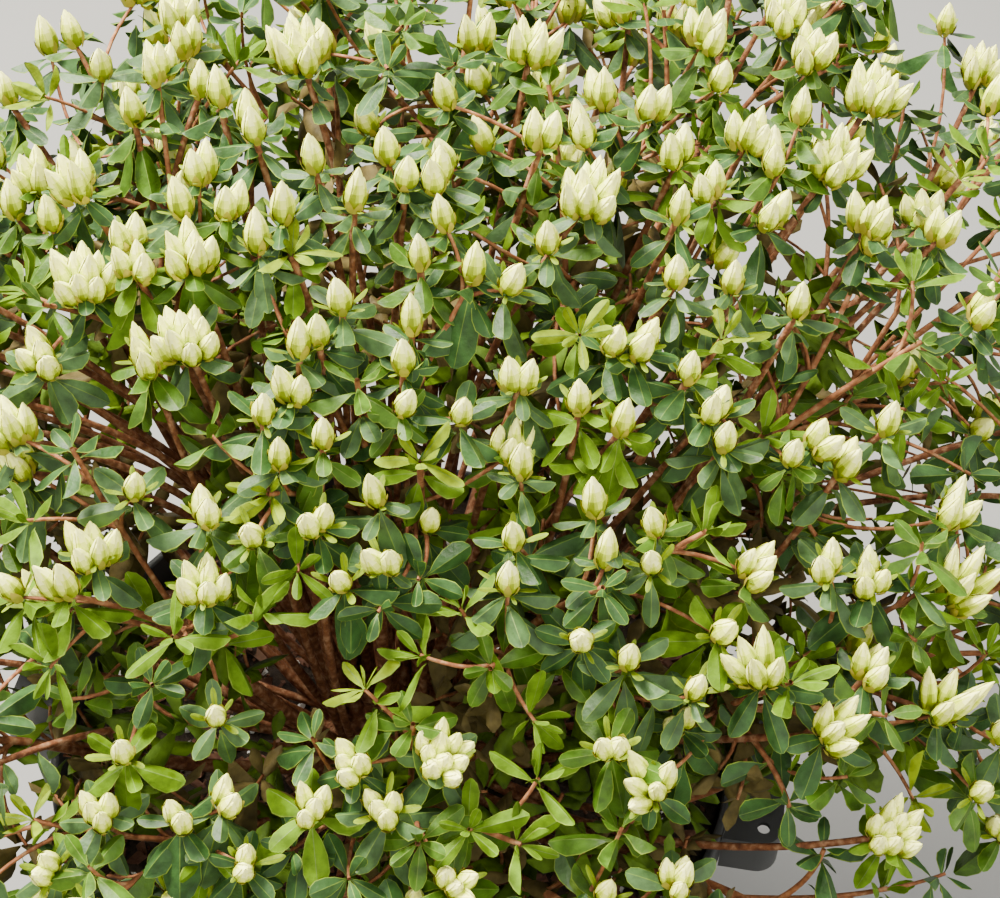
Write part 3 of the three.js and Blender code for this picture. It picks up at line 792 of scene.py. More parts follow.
# Rings of leaves: their number, angles from the tip in degrees, lengths, reach down the shoot, and form
WHORL_LEAVES = (6, 9)
WHORL_SPREAD = (60, 112)
WHORL_LEAST = 0.7
WHORL_DEPTH = 13
ROSETTE_RING = (7, (14, 72), (13, 23), 0, YOUNG_FORM)
COLLAR_RING = (5, WHORL_SPREAD, (18, 25), 6, FULL_FORM)
COLLAR_DROP = 8
TUFT_RING = (7, (8, 62), (14, 27), 5, YOUNG_FORM)
SPREAD_RING = (7, (24, 98), (14, 27), 9, FULL_FORM)
INNER_RING = (7, (30, 115), (18, 33), 16, FULL_FORM)
LEAF_LENGTHS = (19, 31)
LEAF_STRETCHES = (0.88, 1.1)
LEAF_WAVER = 8
LEAF_ROLL = 0.22
LEAF_OUT = 0.8

# Single leaves: angles in degrees, lengths, and where they stand
HANGING_ANGLES = (138, 165)
HANGING_WAVER = 0.5
HANGING_STRETCH = 1.32
HANGING_DOWN = 3
HANGING_OUT = 2
BRACTS = (3, 6)
BRACT_ANGLES = (25, 58)
BRACT_LENGTHS = (8, 14)
BRACT_OUT = 3
LOWER_LEAVES = (1, 4)
LOWER_BACK = (18, 52)
LOWER_LIMIT = 0.8
LOWER_ANGLES = (55, 95)
LOWER_LENGTHS = (17, 27)
LOWER_TILT = 0.6


def leaf_grids(leaves, kinds):
    """All leaves of some kinds: arched across, and bent along their length."""
    chosen = [leaf[:-1] for leaf in leaves if leaf[-1] in kinds]
    root, way, face, length, width, bend, fold = columns_of(chosen)
    share = LEAF_ROWS[None, :]
    half = np.maximum(LEAF_OUTLINE * width[:, None] / 2, STALK_HALF * (1 - STALK_FADE * share))
    rib = np.minimum(RIB_HALF * (1 - RIB_FADE * share), RIB_MOST * half)
    edge = half - np.minimum(EDGE_WIDTH, EDGE_MOST * half)
    across = np.stack([-half, -edge, -rib, rib, edge, half], axis=-1)
    lift = -(fold / width)[:, None, None] * 2 * across**2
    lift[..., 2:4] -= (RIB_DEPTH * np.sin(math.pi * share))[..., None]
    angle = (bend[:, None] * share)[..., None]
    span = (length / bend)[:, None, None]
    onward = (span + lift) * np.sin(angle)
    above = lift * np.cos(angle) - span * (1 - np.cos(angle))
    points = laid_out(root, (way, onward), (face, above), (np.cross(way, face), across))
    return as_grids(points, len(LEAF_ROWS), LEAF_COLUMNS)


def plain_leaves(points, normals, _):
    """The leaves with fewer faces, for those deep in the crown."""
    chosen = np.add.outer(np.array(PLAIN_ROWS) * LEAF_COLUMNS, PLAIN_COLUMNS).reshape(-1)
    return points[:, chosen], normals[:, chosen], grid_faces(len(PLAIN_ROWS), len(PLAIN_COLUMNS))


def turned_about(axis, azimuth, degrees):
    """A way that leaves an axis at an angle, the upper face of a leaf along it, and the way out."""
    outward = away_from(axis, azimuth)
    elevation = math.radians(degrees)
    way = axis * math.cos(elevation) + outward * math.sin(elevation)
    face = axis * math.sin(elevation) - outward * math.cos(elevation)
    return way, face, outward


def add_leaf(leaves, root, way, face, length, form, kind, random):
    """A leaf whose width, bend and fold are drawn, apart from a fold that is one number."""
    widths, bends, folds = form
    width, bend = length * random.uniform(*widths), random.uniform(*bends)
    fold = random.uniform(*folds) if isinstance(folds, tuple) else folds
    way = unit(way)
    leaves.append((root, way, unit(face - way * (face @ way)), length, width, bend, fold, kind))


def add_ring(leaves, tip, axis, size, kind, ring, random):
    """Leaves set round a tip by the golden angle: the lowest are longest and hang furthest down."""
    count, spread, lengths, depth, form = ring
    shortest, longest = (size * length for length in lengths)
    turn = random.uniform(0, TURN)
    for j in range(count):
        low = j / (count - 1)
        degrees = lerp(*spread, low) + random.normal(0, LEAF_WAVER)
        way, face, outward = turned_about(axis, turn + j * GOLDEN_ANGLE, degrees)
        face = face + np.cross(way, face) * random.normal(0, LEAF_ROLL)
        length = lerp(shortest, longest, low) * random.uniform(*LEAF_STRETCHES)
        root = tip - axis * depth * low + outward * LEAF_OUT
        add_leaf(leaves, root, way, face, length, form, kind, random)


def add_whorl(leaves, tip, axis, size, kind, random):
    """The leaves under a bud."""
    longest = random.uniform(*LEAF_LENGTHS) * size
    count = random.integers(*WHORL_LEAVES)
    ring = (count, WHORL_SPREAD, (WHORL_LEAST * longest, longest), WHORL_DEPTH, FULL_FORM)
    add_ring(leaves, tip - axis, axis, 1, kind, ring, random)


def add_hanging_leaf(leaves, tip, axis, size, kind, random):
    """A broad leaf that hangs down on the outer side of a cluster."""
    side, over = square_to(axis)
    out = tip - CROWN_CENTRE
    azimuth = math.atan2(out @ over, out @ side) + random.normal(0, HANGING_WAVER)
    way, face, outward = turned_about(axis, azimuth, random.uniform(*HANGING_ANGLES))
    length = HANGING_STRETCH * size * random.uniform(*LEAF_LENGTHS)
    root = tip - axis * HANGING_DOWN + outward * HANGING_OUT
    add_leaf(leaves, root, way, face, length, HANGING_FORM, kind, random)


def add_bracts(leaves, tip, axis, size, random):
    """Small young leaves that stand up round the base of a bud."""
    turn = random.uniform(0, TURN)
    for j in range(random.integers(*BRACTS)):
        degrees = random.uniform(*BRACT_ANGLES)
        way, face, outward = turned_about(axis, turn + j * GOLDEN_ANGLE, degrees)
        length = size * random.uniform(*BRACT_LENGTHS)
        add_leaf(leaves, tip + outward * BRACT_OUT, way, face, length, BRACT_FORM, YOUNG, random)


def add_lower_leaves(leaves, line, size, kind, random):
    """A few leaves further down a shoot, hanging outwards."""
    reach = np.linalg.norm(line[2] - line[0])
    for _ in range(random.integers(*LOWER_LEAVES)):
        back = random.uniform(*LOWER_BACK)
        if back > LOWER_LIMIT * reach:
            continue
        share = 1 - back / reach
        degrees, azimuth = random.uniform(*LOWER_ANGLES), random.uniform(0, TURN)
        way, face, outward = turned_about(curve_ways(line, share), azimuth, degrees)
        length = size * random.uniform(*LOWER_LENGTHS)
        root = curve_points(line, share) + outward
        add_leaf(leaves, root, way, face + UP * LOWER_TILT, length, LOWER_FORM, kind, random)


# Buds: five petals with a streak from the foot, whose colours are dealt out by face, round a heart
PETALS = 5
BUD_ROWS = np.array([0, 0.13, 0.31, 0.51, 0.71, 0.88, 1])
BUD_PROFILE = np.array([0.58, 0.88, 1, 0.91, 0.62, 0.32, 0.05])
PETAL_REACHES = np.array([0.97, 0.84, 0.93, 0.8, 0.9])
PETAL_SPAN = np.array([1, 1, 1, 1, 0.93, 0.66, 0.12])
STREAK_HALF = np.array([0.5, 0.42, 0.3, 0.19, 0.11, 0.05, 0.02])
FLANK_HALF = np.array([0.86, 0.78, 0.64, 0.46, 0.3, 0.18, 0.08])
PETAL_EDGE = np.ones(len(BUD_ROWS))
PETAL_COLUMNS = np.stack([-PETAL_EDGE, -FLANK_HALF, -STREAK_HALF, STREAK_HALF, FLANK_HALF, PETAL_EDGE], 1)
PETAL_HALF_SPAN = math.radians(52)
PETAL_TUCK = 0.1
PETAL_TWIST = 0.5
PETAL_KEEL = 0.07
PETAL_STAND = 0.06
HEART_ROWS = np.array([0.55, 0.75, 0.9, 0.97, 1])
HEART_SIDES = 6
FOOT, FLANK, STRAW, PALE, CREAM = 0, 1, 2, 3, 4
PETAL_TINTS = np.array([[edge, flank, middle, flank, edge] for edge, flank, middle in (
    (FOOT, FOOT, FOOT), (FLANK, FOOT, FOOT), (STRAW, FLANK, FOOT),
    (PALE, STRAW, FLANK), (CREAM, PALE, STRAW), (CREAM, CREAM, CREAM))]).reshape(-1)
PETAL_PARTS = (
    ("petal_feet", FOOT, (0.16, 0.21, 0.0), (0.27, 0.33, 0.006)),
    ("petal_flanks", FLANK, (0.34, 0.42, 0.006), (0.46, 0.54, 0.02)),
    ("petal_straw", STRAW, (0.56, 0.65, 0.04), (0.67, 0.74, 0.075)),
    ("petal_sides", PALE, (0.73, 0.79, 0.12), (0.82, 0.86, 0.18)),
    ("petal_tips", CREAM, (0.94, 0.96, 0.26), (1.0, 1.0, 0.38)),
)

SCALE_ROWS = np.array([0, 0.4, 0.75, 1])
SCALE_WIDTHS = np.array([0.6, 1.0, 0.66, 0.08])
SCALE_COLUMNS = np.array([-1, 0, 1])
SCALE_SWELL = (0.66, 1.1, -0.6)
SCALES_PER_BUD = 5
SCALE_LENGTHS = (6.5, 10.5)
SCALE_HALVES = (1.7, 2.7)
SCALE_REACH = 1.07

CLUSTERS = ((0.12, BARE), (0.6, 1), (0.82, 2), (0.94, FEW), (1.0, HEAD))
BUD_LENGTHS = (17.5, 22.5)
BUD_RADII = (4.6, 5.4)
OPENING_STRETCH = 1.45
CROWDED = 0.92
CLUSTER_GAP = 4.6
CLUSTER_START = 0.6
CLUSTER_FOOT = 0.62
CLUSTER_LEAN = 1.5
CLUSTER_SLACK = 4
CLUSTER_DROP = 0.35


def bud_points(buds, along, out, around):
    """Points of every bud from shares of its length and radius, and angles round its axis."""
    base, axis, side, over, length, radius, turn = columns_of(buds)
    azimuth = turn[:, None, None] + around
    reach = radius[:, None, None] * out
    return laid_out(base, (axis, length[:, None, None] * along), (side, reach * np.cos(azimuth)),
                    (over, reach * np.sin(azimuth)))


def petal_grids(buds):
    """Every petal, as a row that winds up round its bud."""
    rings = []
    for number, reach in enumerate(PETAL_REACHES):
        along = (BUD_ROWS * reach)[:, None] + 0 * PETAL_COLUMNS
        profile = np.interp(along, BUD_ROWS, BUD_PROFILE)
        keel = PETAL_KEEL * np.cos(PETAL_COLUMNS * math.pi / 2)
        out = profile * (1 + PETAL_TUCK * PETAL_COLUMNS + keel) + PETAL_STAND * along
        span = PETAL_HALF_SPAN * PETAL_COLUMNS * PETAL_SPAN[:, None]
        rings.append(bud_points(buds, along, out, number * TURN / PETALS + span + PETAL_TWIST * along))
    return as_grids(np.concatenate(rings), *PETAL_COLUMNS.shape)


def heart_grids(buds):
    """The furled inner petals, which close the top of each bud."""
    along = HEART_ROWS[:, None] + np.zeros(HEART_SIDES + 1)
    out = np.interp(along, BUD_ROWS, BUD_PROFILE)
    return as_grids(bud_points(buds, along, out, np.linspace(0, TURN, HEART_SIDES + 1)), *along.shape)


def scale_grids(scales):
    base, axis, outward, side, length, half, radius = columns_of(scales)
    rows = SCALE_ROWS[:, None]
    across = half[:, None, None] * SCALE_WIDTHS[:, None] * SCALE_COLUMNS
    start, swell, fall = SCALE_SWELL
    out = radius[:, None, None] * (start + swell * rows + fall * rows**2)
    out = out - across**2 / (2 * radius[:, None, None])
    points = laid_out(base, (axis, length[:, None, None] * rows), (outward, out), (side, across))
    return as_grids(points, len(SCALE_ROWS), len(SCALE_COLUMNS))


def add_bud(buds, scales, base, axis, length, radius, random):
    """A bud with the scales that hug its base."""
    turn = random.uniform(0, TURN)
    buds.append((base, axis, *square_to(axis), length, radius, turn))
    for k in range(SCALES_PER_BUD):
        outward = away_from(axis, turn + k * GOLDEN_ANGLE)
        side = np.cross(axis, outward)
        long, half = random.uniform(*SCALE_LENGTHS), random.uniform(*SCALE_HALVES)
        scales.append((base - axis, axis, outward, side, long, half, radius * SCALE_REACH))


def add_cluster(buds, scales, tip, axis, size, count, random):
    """The buds on a tip, side by side, the outer ones lower and leaning out a little."""
    turn = random.uniform(0, TURN)
    stretch = OPENING_STRETCH if count == OPENING else 1
    for j in range(count):
        out = 0 if count == 1 else size * CLUSTER_GAP * math.sqrt(j + CLUSTER_START)
        lean = CLUSTER_LEAN * stretch * out + random.uniform(0, CLUSTER_SLACK)
        way, _, outward = turned_about(axis, turn + j * GOLDEN_ANGLE, lean)
        length = size * stretch * random.uniform(*BUD_LENGTHS)
        radius = size * random.uniform(*BUD_RADII) * (1 if count < FEW else CROWDED)
        base = tip + outward * out * CLUSTER_FOOT - axis * out * CLUSTER_DROP
        add_bud(buds, scales, base, unit(way), length, radius, random)


# Limbs, twigs and shoots
LIMB_SIDES = 10
SLENDER_SIDES = 7
LIMB_STEP = 8
LEAST_STEPS = 6
STUB_RADII = (STEM_RADII[0] * 1.35, STEM_RADII[0])
STUB_DEPTH = 16
STUB_RISE = 3
STUB_BEND = 0.6
STUB_LAP = 2
LONG_RADII = (2.5, 2.1, 1.6)
COMPANIONS = 2
COMPANION_RADII = (2.4, 2.0, 1.5)
COMPANION_TURN = 0.3
COMPANION_TURNS = (0.7, 1.3)
COMPANION_FEET = (0.55, 0.85)
COMPANION_RISE = 6
COMPANION_BOW = 1.1
COMPANION_WANDER = 6

# Twigs: their radii at the start and the tip, their sides, and the steps along them
MAIN_FORM = ((2.3, 1.2), 8, 14)
SIDE_FORM = ((1.6, 1.2), 7, 10)
SHOOT_FORM = ((1.2, 0.9), 5, 7)
INNER_FORM = ((1.2, 0.9), 4, 5)


def sweep(line, radii, sides, steps, relief=None):
    """A round limb along a curve, open at its start and its end."""
    shares = np.linspace(0, 1, steps + 1)
    points, ways = curve_points(line, shares), curve_ways(line, shares)
    side = square_to(ways[0])[0]
    frames = []
    for way in ways:
        side = unit(side - way * (side @ way))
        frames.append((side, np.cross(way, side)))
    frames = np.array(frames)
    angles = np.arange(sides) * TURN / sides
    radius = np.interp(shares, np.linspace(0, 1, len(radii)), radii)[:, None]
    if relief is not None:
        radius = radius * relief(shares[:, None], angles[None])
    rings = (points[:, None] + (radius * np.cos(angles))[..., None] * frames[:, None, 0]
             + (radius * np.sin(angles))[..., None] * frames[:, None, 1])
    ring = np.arange(steps)[:, None] * sides
    k = np.arange(sides)
    following = (k + 1) % sides
    faces = np.stack([ring + k, ring + following, ring + sides + following, ring + sides + k], -1)
    return rings.reshape(-1, 3), faces.reshape(-1, 4)


def bark_relief(random):
    """Low ridges that wander along a limb, with slight swellings."""
    phase = random.uniform(0, TURN, 4)
    pace = random.uniform(4, 14, 4)

    def relief(share, angle):
        ridges = 0.05 * np.sin(3 * angle + phase[0] + pace[0] * share)
        fine = 0.035 * np.sin(5 * angle + phase[1] - pace[1] * 1.7 * share)
        swell = 0.05 * np.sin(phase[2] + 3 * pace[2] * share) * np.sin(phase[3] + pace[3] * share)
        return 1 + ridges + fine + swell

    return relief


def limb_shape(line, radii, random, sides=LIMB_SIDES):
    steps = max(LEAST_STEPS, int(np.linalg.norm(line[2] - line[0]) / LIMB_STEP))
    return sweep(line, radii, sides, steps, bark_relief(random))


def stub_line(stem):
    """The flared foot of a stem, from inside the stool."""
    foot = stem["line"][0]
    way = curve_ways(stem["line"], 0.0)
    start = foot - way * (STUB_REACH + STUB_DEPTH)
    start[2] = max(start[2], COMPOST_TOP + STUB_RISE)
    return (start, lerp(start, foot, STUB_BEND), foot + way * STUB_LAP)


def companion_line(stem, number, target, random):
    """A slender stem from the stool that runs beside a stem to the foot of one of its twigs."""
    foot, bend, tip = stem["line"]
    turn = COMPANION_TURN * (1 if number % 2 else -1) * random.uniform(*COMPANION_TURNS)
    angle = math.atan2(foot[1], foot[0]) + turn
    outward = math.hypot(foot[0], foot[1]) * random.uniform(*COMPANION_FEET)
    start = polar(outward, angle, COMPOST_TOP + COMPANION_RISE)
    bow = (bend - lerp(foot, tip, 0.5)) * COMPANION_BOW
    middle = lerp(start, target, 0.5) + bow + random.normal(0, COMPANION_WANDER, 3)
    middle[2] = max(middle[2], LOWEST_STEM_Z)
    return (start, middle, target)


STOOL_ROWS = 14
STOOL_COLUMNS = 49
STOOL_STEPS = [0, 0.35, 0.7, 0.9, 1]
STOOL_RADII = [50, 43, 31, 18, 1.5]
STOOL_HEIGHTS = [-4, 10, 21, 27, 29]
STOOL_KNOTS = ((0.08, 5, 3), (0.05, 9, -5), (0.03, 17, 9))


def stool_shape(random):
    """A low knotted dome that the stems rise from."""
    share = np.linspace(0, 1, STOOL_ROWS)[:, None]
    angle = np.linspace(0, TURN, STOOL_COLUMNS)[None]
    phases = random.uniform(0, TURN, len(STOOL_KNOTS))
    knots = 1 + sum(depth * np.sin(count * angle + phase + wind * share)
                    for (depth, count, wind), phase in zip(STOOL_KNOTS, phases))
    radius = np.interp(share, STOOL_STEPS, STOOL_RADII) * knots
    height = COMPOST_TOP + np.interp(share, STOOL_STEPS, STOOL_HEIGHTS) * knots
    return polar(radius, angle, height).reshape(-1, 3), grid_faces(STOOL_ROWS, STOOL_COLUMNS)


# Pot, with a raised band between its foot and its neck, and a lip inside its rim
AXIS_RADIUS = 0.5
POT_SIDES = 128
POT_ROUNDING = 2.2
ROUNDING_MOST = 0.45
POT_FILL = 60
FOOT_INSET = 6
FOOT_RISE = 7
BAND_LOW = 22
BAND_HIGH = 210
BAND_STAND = 1.6
LIP_WIDTH = 5


def turned(profile, sides):
    """A surface of revolution from [radius, height] pairs."""
    profile = np.array(profile, float)
    points = polar(profile[:, :1], np.linspace(0, TURN, sides + 1), profile[:, 1:])
    return points.reshape(-1, 3), grid_faces(len(profile), sides + 1)


def rounded(corners, radius, steps=4):
    """A profile with its inner corners rounded."""
    corners = [np.array(corner, float) for corner in corners]
    points = [corners[0]]
    for before, corner, after in zip(corners, corners[1:], corners[2:]):
        back, on = before - corner, after - corner
        reach = min(radius, ROUNDING_MOST * min(np.linalg.norm(back), np.linalg.norm(on)))
        line = (corner + unit(back) * reach, corner, corner + unit(on) * reach)
        points.extend(curve_points(line, np.linspace(0, 1, steps + 1)))
    points.append(corners[-1])
    return points


def wall_radius(z):
    return lerp(POT_FOOT_RADIUS, POT_NECK_RADIUS, z / (POT_HEIGHT - RIM_DEPTH))


def pot_shape():
    neck = POT_HEIGHT - RIM_DEPTH
    profile = [
        (AXIS_RADIUS, 0),
        (POT_FOOT_RADIUS - FOOT_INSET, 0),
        (wall_radius(FOOT_RISE), FOOT_RISE),
        (wall_radius(BAND_LOW), BAND_LOW),
        (wall_radius(BAND_LOW + 2) + BAND_STAND, BAND_LOW + 4),
        (wall_radius(BAND_HIGH) + BAND_STAND, BAND_HIGH),
        (wall_radius(BAND_HIGH + 4) + 0.2, BAND_HIGH + 6),
        (POT_NECK_RADIUS, neck),
        (RIM_RADIUS, neck + POT_WALL),
        (RIM_RADIUS, POT_HEIGHT),
        (RIM_RADIUS - LIP_WIDTH, POT_HEIGHT),
        (RIM_RADIUS - LIP_WIDTH - 1, neck + 2 * POT_WALL),
        (POT_NECK_RADIUS - POT_WALL, neck + POT_WALL),
        (wall_radius(POT_FILL) - POT_WALL, POT_FILL),
        (AXIS_RADIUS, POT_FILL),
    ]
    return turned(rounded(profile, POT_ROUNDING), POT_SIDES)


# Compost, with flakes of bark, white grit and fallen leaves: their number and sizes, and their tilt
COMPOST_RINGS = 60
COMPOST_SIDES = 180
COMPOST_RADIUS = 182
COMPOST_TUCK = 12
COMPOST_HEM_DEPTH = 18
COMPOST_ROUGHNESS = 0.9
COMPOST_FALL = 2
COMPOST_MARGIN = 6
BANK_HEIGHT = 5
BANK_REACH = 70
LEAST_SPREAD_AREA = 0.04
LARGE_CHIPS = (900, (5, 15), (3, 8), (0.8, 2.5), 0.5)
SMALL_CHIPS = (1500, (1.5, 5), (1, 3), (0.6, 1.8), 0.7)
GRIT = (420, (1.6, 4.2), (1.5, 3.6), (1.2, 3), 0.7)
CORNER_SHARES = (0.55, 1.15)
FALLEN_COUNT = 70
FALLEN_REACH = 146
FALLEN_TILT = 0.35
FALLEN_LENGTHS = (18, 32)
FALLEN_LIFT = 3
BLOCK = np.array([[x, y, z] for x in (-1, 1) for y in (-1, 1) for z in (-1, 1)], float)
BLOCK_FACES = np.array([[0, 1, 3, 2], [4, 6, 7, 5], [0, 4, 5, 1], [2, 3, 7, 6], [0, 2, 6, 4], [1, 5, 7, 3]])


def compost_points(radius, angle):
    """Points of the gently uneven compost, which is banked up round the stool."""
    points = polar(radius, angle, 0.0)
    x, y = points[..., 0], points[..., 1]
    waves = (1.6 * np.sin(x / 17 + 1.3) * np.cos(y / 21) + 1.1 * np.sin(x / 9 - y / 13)
             + 0.8 * np.cos(x / 5.5 + y / 7))
    bank = BANK_HEIGHT * np.exp(-(x * x + y * y) / BANK_REACH**2)
    points[..., 2] = COMPOST_TOP - COMPOST_FALL + waves + bank
    return points


def compost_shape(random):
    angle = np.linspace(0, TURN, COMPOST_SIDES + 1)[None]
    surface_points = compost_points(np.linspace(COMPOST_RADIUS, AXIS_RADIUS, COMPOST_RINGS)[:, None], angle)
    rough = random.normal(0, COMPOST_ROUGHNESS, surface_points.shape[:2])
    rough[:, -1] = rough[:, 0]
    surface_points[..., 2] += rough
    hem = polar(COMPOST_RADIUS - COMPOST_TUCK, angle, COMPOST_TOP - COMPOST_HEM_DEPTH)
    points = np.concatenate([hem, surface_points])
    return points.reshape(-1, 3), grid_faces(COMPOST_RINGS + 1, COMPOST_SIDES + 1)


def on_compost(count, random, reach=COMPOST_RADIUS - COMPOST_MARGIN):
    """Places spread over the compost."""
    radius = reach * np.sqrt(random.uniform(LEAST_SPREAD_AREA, 1, count))
    return compost_points(radius, random.uniform(0, TURN, count))


def random_frames(count, tilt, random):
    """Sets of three square directions, level apart from a tilt."""
    lean = [random.normal(0, tilt, count), random.normal(0, tilt, count), np.ones(count)]
    face = unit(np.stack(lean, -1))
    way = polar(1, random.uniform(0, TURN, count), 0)
    way = unit(way - face * (way * face).sum(-1, keepdims=True))
    return way, np.cross(face, way), face


def chips_shape(count, lengths, widths, depths, tilt, random):
    """Flakes and grains: blocks whose corners are all moved a little."""
    frames = random_frames(count, tilt, random)
    half = np.stack([random.uniform(*sizes, count) for sizes in (lengths, widths, depths)], -1) / 2
    corners = BLOCK[None] * half[:, None] * random.uniform(*CORNER_SHARES, (count, 8, 3))
    centre = on_compost(count, random)
    centre[:, 2] += half[:, 2]
    points = laid_out(centre, *((way, corners[..., k, None]) for k, way in enumerate(frames)))
    return scatter(points, BLOCK_FACES)


def fallen_leaves(random):
    leaves = []
    way, _, face = random_frames(FALLEN_COUNT, FALLEN_TILT, random)
    for place, onward, upper in zip(on_compost(FALLEN_COUNT, random, FALLEN_REACH), way, face):
        length = random.uniform(*FALLEN_LENGTHS)
        add_leaf(leaves, place + UP * FALLEN_LIFT, onward, upper, length, FALLEN_FORM, OLD, random)
    return leaf_grids(leaves, (OLD,))


# Ears of the pot
EAR_BEVEL = 1.1
EAR_LAP = 0.5
EAR_BEVEL_STEPS = 3
EAR_SHARP = math.radians(40)
BEVEL_SHARP = math.radians(50)
EAR_DROP = 0.2
CUT_MARGIN = 5
HOLE_CUT = 12
HOLE_SIDES = 24


def ear_outline(inset, steps=8):
    half = EAR_WIDTH / 2 - inset
    front = RIM_RADIUS + EAR_REACH - inset
    back = RIM_RADIUS + EAR_LAP
    corner = EAR_CORNER - inset
    turn = np.linspace(0, math.pi / 2, steps)
    near = np.stack([front - corner + corner * np.sin(turn), -half + corner - corner * np.cos(turn)], -1)
    rear = polar(back, np.linspace(1, -1, 2 * steps) * math.asin(half / back), 0)[:, :2]
    return np.concatenate([near, near[::-1] * [1, -1], rear])


def block_object(name, outline, bottom, top):
    """A prism over an outline, as a loose object for cutting."""
    count = len(outline)
    points = np.concatenate([np.c_[outline, np.full(count, level)] for level in (bottom, top)])
    faces = [list(range(count))[::-1], list(range(count, 2 * count))]
    faces += [[i, (i + 1) % count, count + (i + 1) % count, count + i] for i in range(count)]
    mesh = bpy.data.meshes.new(name)
    mesh.from_pydata((points * MM).tolist(), [], faces)
    return add_object(name, mesh)


def modify(piece, kind, **settings):
    """Change a piece's mesh by a modifier."""
    modifier = piece.modifiers.new(kind, kind)
    for name, value in settings.items():
        setattr(modifier, name, value)
    graph = bpy.context.evaluated_depsgraph_get()
    piece.data = bpy.data.meshes.new_from_object(piece.evaluated_get(graph))
    piece.modifiers.clear()


def cut(piece, outline, bottom, top):
    """Cut a prism out of a piece."""
    tool = block_object("tool", outline, bottom, top)
    modify(piece, "BOOLEAN", operation="DIFFERENCE", object=tool)
    bpy.data.objects.remove(tool)


def turn_about_pot(piece, turn):
    cosine, sine = math.cos(turn), math.sin(turn)
    for vertex in piece.data.vertices:
        x, y, _ = vertex.co
        vertex.co.x = x * cosine - y * sine
        vertex.co.y = x * sine + y * cosine


def make_ear(name, turn, material):
    ear = block_object(name, ear_outline(0), POT_HEIGHT - EAR_DEPTH, POT_HEIGHT - EAR_DROP)
    inner = ear_outline(POT_WALL)
    for hollow in (inner, inner - [EAR_REACH / 2, 0]):
        cut(ear, hollow, POT_HEIGHT - EAR_DEPTH - CUT_MARGIN, POT_HEIGHT - POT_WALL)
    centre = [RIM_RADIUS + EAR_REACH - EAR_HOLE_INSET, EAR_HOLE_INSET - EAR_WIDTH / 2]
    around = np.arange(HOLE_SIDES) * TURN / HOLE_SIDES
    hole = polar(EAR_HOLE_RADIUS, around, 0)[:, :2] + centre
    cut(ear, hole, POT_HEIGHT - HOLE_CUT, POT_HEIGHT + HOLE_CUT)
    turn_about_pot(ear, turn)
    modify(ear, "BEVEL", limit_method="ANGLE", angle_limit=BEVEL_SHARP,
           width=EAR_BEVEL * MM, segments=EAR_BEVEL_STEPS)
    ear.data.materials.clear()
    ear.data.materials.append(material)
    ear.data.polygons.foreach_set("use_smooth", [True] * len(ear.data.polygons))
    ear.data.set_sharp_from_angle(angle=EAR_SHARP)
    declare(ear, (name,))


# Dressing of the tips
FRONT_GROWTH = 0.3
FRONT_LESSENING = 0.22
BUDDED_LIFT = 2.6
BARE_LIFT = 0.7
TIP_WAVER = 0.14
LOWER_SHARE = 0.7
BRACT_SHARE = 0.85
HANGING_SHARE = 0.58


def pick_share(table, random):
    """The entry of a table of shares that a random number falls on."""
    number = random.uniform()
    return next(entry for share, entry in table if number <= share)


def dress_leafy_tip(leaves, tip, axis, size, count, inner, random):
    """Leaves alone: inner growth, a young rosette, a slender tuft, or a spread of full-grown ones."""
    if inner:
        add_ring(leaves, tip, axis, size, pick_share(INNER_KINDS, random), INNER_RING, random)
    elif count == ROSETTE:
        add_ring(leaves, tip, axis, size, YOUNG, ROSETTE_RING, random)
        add_ring(leaves, tip - axis * COLLAR_DROP, axis, size, FRESH, COLLAR_RING, random)
    else:
        kind = pick_share(BARE_KINDS, random)
        ring = TUFT_RING if kind in (FRESH, YOUNG) else SPREAD_RING
        add_ring(leaves, tip, axis, size, kind, ring, random)


def dress_tip(twig, leaves, buds, scales, random):
    line, size, count = twig["line"], twig["size"], twig["buds"]
    tip = line[2]
    front = max(0, -tip[1]) / CROWN_HALF[1]
    leaf_size, bud_size = size * (1 + FRONT_GROWTH * front), size * (1 - FRONT_LESSENING * front)
    if count is None:
        count = pick_share(CLUSTERS, random)
    lift = BUDDED_LIFT if count > ROSETTE else BARE_LIFT
    axis = unit(curve_ways(line, 1.0) + UP * lift + random.normal(0, TIP_WAVER, 3))
    kind = pick_share(SPRAY_KINDS, random)
    if random.uniform() < LOWER_SHARE and not twig["inner"]:
        add_lower_leaves(leaves, line, leaf_size, kind, random)
    if count <= ROSETTE:
        dress_leafy_tip(leaves, tip, axis, size, count, twig["inner"], random)
        return
    add_whorl(leaves, tip, axis, leaf_size, kind, random)
    if random.uniform() < HANGING_SHARE:
        add_hanging_leaf(leaves, tip, axis, leaf_size, kind, random)
    if random.uniform() < BRACT_SHARE:
        add_bracts(leaves, tip, axis, leaf_size, random)
    add_cluster(buds, scales, tip, axis, bud_size, count, random)


# Pieces
PLANT_SEED = 20


def node_names(kind):
    return [f"{kind}_{stem['index'] + 1:02d}" for stem in stems]


def add_grids(name, grids, material, chosen=slice(None), slot="foliage", replaced=()):
    """A piece of copies of a grid, or of some of its faces."""
    points, normals, faces = grids
    add_piece(name, scatter(points, faces[chosen], normals), material, replaced)


